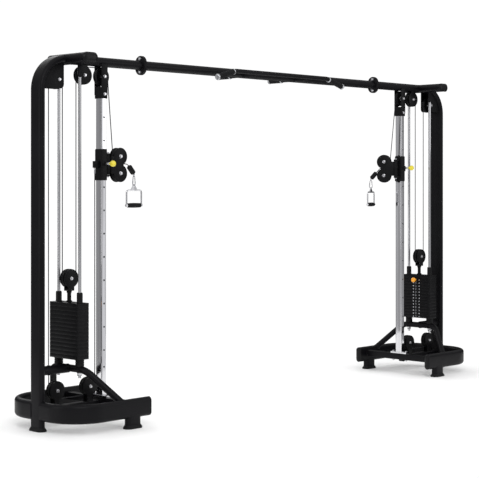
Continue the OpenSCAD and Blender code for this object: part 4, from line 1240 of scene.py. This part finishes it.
def hinge_bolt(bm, side):
    hex_bolt(bm, (HINGE_X, 0, CARRIAGE_Z + HINGE_BOLT_RISE), Z, height=0.0065)
    hex_bolt(bm, (HINGE_X, 0, CARRIAGE_Z - HINGE_BOLT_RISE), -Z, height=0.0060)


def pop_pin_shaft(bm, side):
    shaft = [(0, 0), (0.0010, 0.0040), (0.0030, 0.0050), (0.0260, 0.0050), (0.0272, 0.0088),
             (0.0290, 0.0092), (0.0500, 0.0092), (0.0540, 0.0080), (0.0540, 0)]
    lathe(bm, soften(shaft, 0.0006), (COLUMN_X, -COLUMN_D / 2 - 0.0006, PIN_Z), -Y, 32)


def pop_pin_knob(bm, side):
    ball, ball_r = 0.033, 0.020
    knob = [(0, 0), (0, 0.0052), (0.0010, 0.0060), (0.0080, 0.0072), (0.0135, 0.0086)]
    knob += [(ball - ball_r * math.cos(math.radians(a)), ball_r * math.sin(math.radians(a)))
             for a in range(32, 180, 8)]
    lathe(bm, knob + [(ball + ball_r, 0)], (COLUMN_X, KNOB_Y, PIN_Z), -Y, 48)


def bracket_outline():
    """Figure-of-eight side plate: two discs, a waist towards the user and a straight hinge edge."""
    r, gap, waist, reach, edge_x = 0.0575, PULLEY_GAP / 2, 0.013, 0.040, 0.080
    lean = math.degrees(math.atan2(gap, reach + 0.002))
    top_start = math.degrees(math.asin((r - gap) / r))
    out = [(edge_x, -r), (edge_x, r)]
    out += arc((0, gap), r, top_start, 180 + lean, 40)
    out += arc((-reach, 0), waist, lean - 6, -lean + 6, 10)
    out += arc((0, -gap), r, 180 - lean, 360 - top_start, 40)
    return [(SMALL_X + a, CARRIAGE_Z + b) for a, b in out]


def swivel_plates(bm, side):
    plate_pair(bm, bracket_outline(), CHEEK_Y)


def swivel_barrel(bm, side):
    """Hinge tube with the block between the side plates, and the wheels' spacers."""
    barrel_h, barrel_r, block_half = 0.123, 0.0155, 0.050
    barrel = soften([(0, 0), (0, barrel_r), (barrel_h, barrel_r), (barrel_h, 0)], 0.001)
    lathe(bm, barrel, (HINGE_X, 0, CARRIAGE_Z - barrel_h / 2), Z, 36)
    inner = CHEEK_Y - CHEEK_T + 0.0002
    for x0, x1, y in ((SMALL_X + 0.062, SMALL_X + 0.0796, inner), (SMALL_X + 0.079, HINGE_X - 0.004, 0.0150)):
        block(bm, (x0, -y, CARRIAGE_Z - block_half), (x1, y, CARRIAGE_Z + block_half), 0.001, 0.003)
    for z in (CARRIAGE_Z - PULLEY_GAP / 2, CARRIAGE_Z + PULLEY_GAP / 2):
        spacer_pair(bm, SMALL_X, z, 0.0102, inner)


def swivel_bolts(bm, side):
    for z in (CARRIAGE_Z - PULLEY_GAP / 2, CARRIAGE_Z + PULLEY_GAP / 2):
        bolt_pair(bm, SMALL_X, z, CHEEK_Y, 0.020, 0.0085)


# ---- handle ----
def stopper(bm, side):
    profile = [(0.0006, 0), (0.0006, 0.0115), (0.0025, 0.0145), (0.0060, 0.0176), (0.0170, 0.0180),
               (0.0185, 0.0172), (0.0200, 0.0180), (0.0480, 0.0180), (0.0495, 0.0172), (0.0510, 0.0180),
               (0.0590, 0.0176), (0.0630, 0.0145), (0.0650, 0.0100), (0.0650, 0)]
    lathe(bm, soften(profile, 0.0008), STOPPER, EXIT_DIR, 44)


def eye(bm, side):
    """Swivel ball below the stopper with its welded ring."""
    lathe(bm, [(-0.0060, 0), (-0.0056, 0.0025), (-0.0040, 0.0046), (-0.0020, 0.0057), (0, 0.0060),
               (0.0020, 0.0057), (0.0040, 0.0046), (0.0056, 0.0025), (0.0060, 0)], BALL, Z, 28)
    tube(bm, [EYE + Vector((a, 0, b)) for a, b in circle(0.0065, 28)], 0.0020, Y, 14, True)


def carabiner(bm, side):
    """Wire of the pear-shaped snap link, square to the handle."""
    top, low = (0, CLIP_TOP_Z - CLIP_NARROW), (0, CLIP_LOW_Z + CLIP_WIDE)
    points = arc(low, CLIP_WIDE, -90, -8, 8) + arc(top, CLIP_NARROW, 8, 172, 12)
    points += arc(low, CLIP_WIDE, 188, 262, 8)
    tube(bm, [(EYE.x, a, b) for a, b in points], CLIP_WIRE, X, 16, True)


def carabiner_gate(bm, side):
    """The snap link's gate with its two rivets."""
    low = Vector((EYE.x, CLIP_WIDE - 0.0003, CLIP_LOW_Z + CLIP_WIDE + 0.002))
    top = Vector((EYE.x, CLIP_NARROW + 0.0006, CLIP_TOP_Z - CLIP_NARROW - 0.004))
    along, length = (top - low).normalized(), (top - low).length
    gate = [(0, 0), (0, 0.0040), (length * 0.55, 0.0041), (length * 0.55, 0.0034), (length, 0.0034),
            (length, 0)]
    lathe(bm, soften(gate, 0.0005), low, along, 22)
    rivet = soften([(-0.0044, 0), (-0.0044, 0.0012), (0.0044, 0.0012), (0.0044, 0)], 0.0003)
    for p in (low + along * 0.004, top - along * 0.003):
        lathe(bm, rivet, p, X, 14)


def handle_bow(bm, side):
    """Bent bar from one end of the grip over the top to the other, with eyes for the grip's core."""
    x, foot_z = EYE.x, GRIP_Z - 0.004
    path = rounded_path([(x - HANDLE_HALF, 0, foot_z), (x - HANDLE_HALF, 0, BOW_Z),
                         (x + HANDLE_HALF, 0, BOW_Z), (x + HANDLE_HALF, 0, foot_z)], 0.016, 12)
    tube(bm, path, HANDLE_BAR_R, Y, 22)
    flat_eye = soften([(-0.0050, 0), (-0.0050, 0.0105), (0.0050, 0.0105), (0.0050, 0)], 0.001)
    for s in (-1, 1):
        lathe(bm, flat_eye, (x + s * HANDLE_HALF, 0, GRIP_Z), X, 32)


def ray_exit(edge, center, direction, nearest):
    """How far from the centre a ray leaves a closed outline, beyond the nearest that counts."""
    hits = []
    for i, q in enumerate(edge):
        p = edge[i - 1]
        along, w = q - p, p - center
        cross = direction.x * along.y - direction.y * along.x
        if abs(cross) < 1e-12:
            continue
        t = (w.x * along.y - w.y * along.x) / cross
        u = (w.x * direction.y - w.y * direction.x) / cross
        if t > nearest and -0.001 <= u <= 1.001:
            hits.append(t)
    return min(hits)


def handle_plate(bm, side):
    """Pierced triangular plate at the bow's top."""
    x, z, half_t = EYE.x, BOW_Z, 0.003
    low, high, shoulder = 0.002, 0.040, 0.028
    shape = rounded_path([(x + 0.0001, z + high), (x - 0.0085, z + high), (x - 0.0115, z + shoulder),
                          (x - 0.031, z + low), (x + 0.031, z + low), (x + 0.0115, z + shoulder),
                          (x + 0.0085, z + high), (x + 0.0001, z + high)], 0.003, 3)
    center = Vector((x, HOLE_Z))
    hole = arc(center, HANDLE_HOLE_R, 90, 440, 35)
    outline = []
    for point in hole:
        direction = (Vector(point) - center).normalized()
        outline.append(center + direction * ray_exit(shape, center, direction, HANDLE_HOLE_R + 0.0005))
    rings = [[(a, y, b) for a, b in points]
             for y, points in ((-half_t, hole), (-half_t, outline), (half_t, outline), (half_t, hole))]
    skin(bm, rings, True)


def handle_core(bm, side):
    """Rod through the grip, with a cap on each end."""
    core_r = 0.0049
    lathe(bm, [(-HANDLE_HALF, 0), (-HANDLE_HALF, core_r), (HANDLE_HALF, core_r), (HANDLE_HALF, 0)],
          (EYE.x, 0, GRIP_Z), X, 24)
    cap = soften([(0, 0), (0, 0.0072), (0.0030, 0.0068), (0.0042, 0.0045), (0.0042, 0)], 0.0006)
    for s in (-1, 1):
        lathe(bm, cap, (EYE.x + s * (HANDLE_HALF + 0.0048), 0, GRIP_Z), X * s, 24)


def handle_grip(bm, side):
    """Barrel grip with moulded rings."""
    half = 0.056
    profile = [(-half, 0.0055), (-half, 0.0128), (-half + 0.0015, 0.0142)]
    rings = 14
    for k in range(rings + 1):
        at = -0.046 + 0.092 * k / rings
        radius = 0.0143 + 0.0017 * math.cos(math.pi * at / 0.11)
        profile += [(at - 0.0016, radius), (at - 0.0006, radius - 0.0008), (at + 0.0006, radius - 0.0008),
                    (at + 0.0016, radius)]
    profile += [(half - 0.0015, 0.0142), (half, 0.0128), (half, 0.0055)]
    lathe_ring(bm, profile, (EYE.x, 0, GRIP_Z), X, 40)


# ---- cables ----
def rope(bm, points):
    """Round rope. Its UV map runs along it, one unit every 9 mm, and twice round it."""
    tube(bm, points, CABLE_R, Y, 12)
    uv = bm.loops.layers.uv.verify()
    for face in bm.faces:
        for loop in face.loops:
            u, v = loop[uv].uv
            loop[uv].uv = (u * 2, v / 0.009)


def in_xz(points):
    return [Vector((a, 0, b)) for a, b in points]


def cable_over_head(bm, side):
    points = arc((COLUMN_X, UPPER_Z), SHEAVE_R, 180, 90, 16)
    points += arc((MIDDLE_X, UPPER_Z), SHEAVE_R, 90, 0, 16)
    rope(bm, in_xz(points))


def cable_round_frame(bm, side):
    points = arc((OUTER_X, OUTER_Z), SHEAVE_R, 180, 0, 30)
    points += arc((OUTER_X, BOTTOM_Z), SHEAVE_R, 0, -90, 16)
    points += arc((INNER_X, BOTTOM_Z), SHEAVE_R, 270, 180, 16)
    rope(bm, in_xz(points))


def cable_under_stack(bm, side):
    rope(bm, in_xz(arc((STACK_X, STACK_PULLEY_Z), SHEAVE_R, 180, 360, 30)))


def straight(start, end, count):
    return [start.lerp(end, k / count) for k in range(count + 1)]


def cable_at_bracket(bm, side):
    """Under the upper pulley, through the gap and down towards the stopper."""
    shift, run = (RIGHT_EXIT_SHIFT, RIGHT_EXIT_RUN) if side == "right" else (0, 0)
    points = arc((SMALL_X, CARRIAGE_Z + PULLEY_GAP / 2), SMALL_R, 360, 270, 14)
    points += arc((EXIT_X + shift, NIP_Z - EXIT_R), EXIT_R, 90, 90 + math.degrees(EXIT_ANGLE), 12)
    points = in_xz(points)
    if run:
        points.append(points[-1] + EXIT_DIR * run)
    rope(bm, points)


def straight_cable(name, start, end, count, bodies, margin=0.0, replaced=()):
    """A straight run of rope from start to end, fixed in the world. margin is not used."""
    bm = bmesh.new()
    rope(bm, straight(start, end, count))
    along = (end - start).normalized() * margin
    finish_piece(name, bm, "rope", (*bodies, start + along, end - along), replaced)


def make_straight_cables(side):
    sx = 1 if side == "right" else -1
    stack, slide, swivel = f"{side}_stack", f"{side}_carriage_body", f"{side}_swivel"
    for name, x, z0, z1, body, node in (
            ("stack_inner_run", STACK_X - SHEAVE_R, UPPER_Z, STACK_PULLEY_Z, stack, f"{side}_stack_cable"),
            ("stack_outer_run", STACK_X + SHEAVE_R, OUTER_Z, STACK_PULLEY_Z, stack, f"{side}_stack_cable"),
            ("anchor_run", ANCHOR_X, BOTTOM_Z, CARRIAGE_Z - 0.018, slide, f"{side}_anchor_cable")):
        straight_cable(f"{side}_{name}", Vector((sx * x, 0, z0)), Vector((sx * x, 0, z1)), 60,
                       ("root", body), 0.02, [node])
    low, high, split_z = CARRIAGE_Z + PULLEY_GAP / 2, UPPER_Z, 1.890
    top, bottom = Vector((sx * HINGE_X, 0, high)), at_bracket((HINGE_X - 0.045, 0, low), side)
    middle = top.lerp(bottom, (high - split_z) / (high - low))
    handle_cable = [f"{side}_handle_cable"]
    straight_cable(f"{side}_handle_run_upper", top, middle, 60, ("root", slide), 0.0, handle_cable)
    straight_cable(f"{side}_handle_run_lower", middle, bottom, 60, (slide, swivel), 0.0, handle_cable)
    # the stretch of cable that runs into the stopper
    mouth = STOPPER + RIGHT_HANG if side == "right" else STOPPER
    straight_cable(f"{side}_cable_in_stopper", at_bracket(mouth - EXIT_DIR * 0.001, side),
                   at_bracket(mouth + EXIT_DIR * 0.050, side), 70, (swivel, f"{side}_pull"))


def make_cables():
    for name, build, body, node, mover in (
            ("cable_over_head", cable_over_head, "root", "frame_cables", place_straight),
            ("cable_round_frame", cable_round_frame, "root", "frame_cables", place_straight),
            ("cable_under_stack", cable_under_stack, "{side}_stack", "{side}_stack_cable", place_straight),
            ("cable_at_bracket", cable_at_bracket, "{side}_swivel", "{side}_swivel_cable", place_swivelled)):
        tower_piece(name, build, "rope", body, "cable_coating", [node], mover)
    for side in SIDES:
        make_straight_cables(side)


def anchor_ferrule(bm, side):
    """Swaged end and nut where the cable meets the carriage."""
    profile = [(0, 0.0032), (0, 0.0052), (0.030, 0.0052), (0.034, 0.0075), (0.038, 0.0075),
               (0.038, 0.0032)]
    lathe(bm, soften(profile, 0.0006), (ANCHOR_X, 0, CARRIAGE_Z - 0.058), Z, 28)


# ---- build ----
def paint_cad():
    """The chromed columns keep their CAD shape and only get a better material."""
    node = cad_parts["columns"]
    node.data.materials.clear()
    node.data.materials.append(FINISHES["chrome"])


def make_frame():
    for name, build, node in (("base_loop", base_loop, "base_frames"),
                              ("base_legs", base_legs, "base_frames"),
                              ("base_crossbar", base_crossbar, "base_frames"),
                              ("base_spine", base_spine, "base_frames"),
                              ("upright", upright, "main_uprights"),
                              ("stack_hoop", hoop, "stack_hoops"),
                              ("hoop_tie", tie, "stack_hoops"),
                              ("top_tube", top_tube, "top_tubes")):
        tower_piece(name, build, "frame", "root", "frame_paint", [node])
    tower_piece("frame_welds", frame_welds, "weld", "root", "frame_paint")
    tower_piece("tie_grommets", tie_grommets, "foot", "root", "black_rubber")
    tower_piece("foot_pads", foot_pads, "foot", "root", "black_rubber", ["rubber_feet_and_bumpers"])
    tower_piece("end_caps", end_caps, "plastic", "root", "cap_plastic", ["tube_end_caps"])
    for name, build, key, replaced in (("center_beam_tube", center_beam, "frame", ["center_beam"]),
                                       ("pull_up_frame", pull_up_bar, "frame", ["pull_up_bar"]),
                                       ("center_beam_welds", center_welds, "weld", [])):
        bm = bmesh.new()
        build(bm)
        finish_piece(name, bm, key, "root", replaced)
    make_pull_up_grips()


def make_brackets():
    dark = ("bracket", "root", "bracket_paint")
    tower_piece("head_bracket", head_bracket, *dark, ["head_brackets"])
    tower_piece("bend_gussets", gussets, *dark, ["pulley_plates"])
    tower_piece("pulley_lugs", pulley_lugs, *dark, ["pulley_plates"])
    bright = ("zinc", "root", "zinc_steel")
    tower_piece("flange_bolts", flange_bolts, *bright, ["frame_bolts"])
    tower_piece("column_bolts", column_bolts, *bright, ["frame_bolts"])
    tower_piece("bracket_bolts", bracket_bolts, *bright, ["frame_bolts"])
    tower_piece("rod_nuts", rod_nuts, *bright, ["frame_bolts"])
    tower_piece("column_hole_rims", column_holes, ["alloy", "dark"], "root", "chromed_steel")


def make_stack():
    tower_piece("guide_rod_pair", guide_rods, "chrome", "root", "chromed_steel", ["guide_rods"])
    tower_piece("bumpers", bumpers, "foot", "root", "black_rubber", ["rubber_feet_and_bumpers"])
    tower_piece("resting_plates", weight_plates, "iron", "root", "weight_plate_iron", ["weight_plates"])
    tower_piece("plate_marks", lambda bm, side: plate_marks(bm, range(RESTING)), ["alloy", "dark"], "root",
                "weight_plate_iron")
    stack = "{side}_stack"
    tower_piece("head_plates", stack_head, "iron", stack, "weight_plate_iron", ["{side}_stack_head"])
    tower_piece("head_plate_marks", lambda bm, side: plate_marks(bm, [RESTING]), ["alloy", "dark"], stack,
                "weight_plate_iron")
    tower_piece("head_bushings", head_bushings, "plastic", stack, "weight_plate_iron", ["{side}_stack_head"])
    tower_piece("lift_fork", lift_stem, "bracket", stack, "blackened_steel", ["{side}_lift_stem"])
    tower_piece("fork_bolts", stack_fork_bolts, "zinc", stack, "zinc_steel")
    pin = "{side}_selector"
    tower_piece("selector_shaft", selector_shaft, "chrome", pin, "chromed_steel", ["{side}_selector_pin"])
    tower_piece("selector_knob", selector_knob, "orange", pin, "selector_knob", ["{side}_selector_pin"])


def make_carriage():
    slide = "{side}_carriage_body"
    tower_piece("carriage_sleeve", carriage, "bracket", slide, "bracket_paint", ["{side}_carriage"])
    tower_piece("carriage_bushes", carriage_liner, "plastic", slide, "cap_plastic")
    tower_piece("hinge_bolt", hinge_bolt, "zinc", slide, "zinc_steel")
    tower_piece("anchor_ferrule", anchor_ferrule, "zinc", slide, "zinc_steel")
    pin = "{side}_pop_pin_body"
    tower_piece("pop_pin_shaft", pop_pin_shaft, "zinc", pin, "chromed_steel", ["{side}_pop_pin"])
    tower_piece("pop_pin_knob", pop_pin_knob, "yellow", pin, "pop_pin_knob", ["{side}_pop_pin"])
    swivel = "{side}_swivel"
    tower_piece("swivel_plates", swivel_plates, "bracket", swivel, "bracket_paint",
                ["{side}_swivel_bracket"], place_swivelled)
    tower_piece("swivel_barrel", swivel_barrel, "bracket", swivel, "bracket_paint",
                ["{side}_swivel_bracket"], place_swivelled)
    tower_piece("swivel_bolts", swivel_bolts, "zinc", swivel, "zinc_steel", (), place_swivelled)


def make_handle():
    tower_piece("stopper", stopper, "foot", "{side}_pull", "black_rubber", ["{side}_cable_stopper"],
                hung_mover)
    tower_piece("stopper_eye", eye, "zinc", "{side}_pull", "zinc_steel", (), turned_mover)
    tower_piece("snap_link", carabiner, "zinc", "{side}_clip", "zinc_steel", ["{side}_carabiner"],
                turned_mover)
    tower_piece("snap_link_gate", carabiner_gate, "chrome", "{side}_clip", "zinc_steel", (), turned_mover)
    handle = "{side}_handle"
    tower_piece("handle_bow", handle_bow, "chrome", handle, "chromed_steel", ["{side}_handle_frame"],
                turned_mover)
    tower_piece("handle_plate", handle_plate, "chrome", handle, "chromed_steel", (), turned_mover)
    tower_piece("handle_core", handle_core, "zinc", handle, "zinc_steel", (), turned_mover)
    tower_piece("handle_barrel", handle_grip, "rubber", handle, "grip_rubber", ["{side}_handle_grip"],
                turned_mover, 45)


make_camera()
make_world()
make_stage()
FINISHES = make_finishes()
paint_cad()
make_frame()
make_brackets()
make_pulleys()
make_stack()
make_carriage()
make_handle()
make_cables()
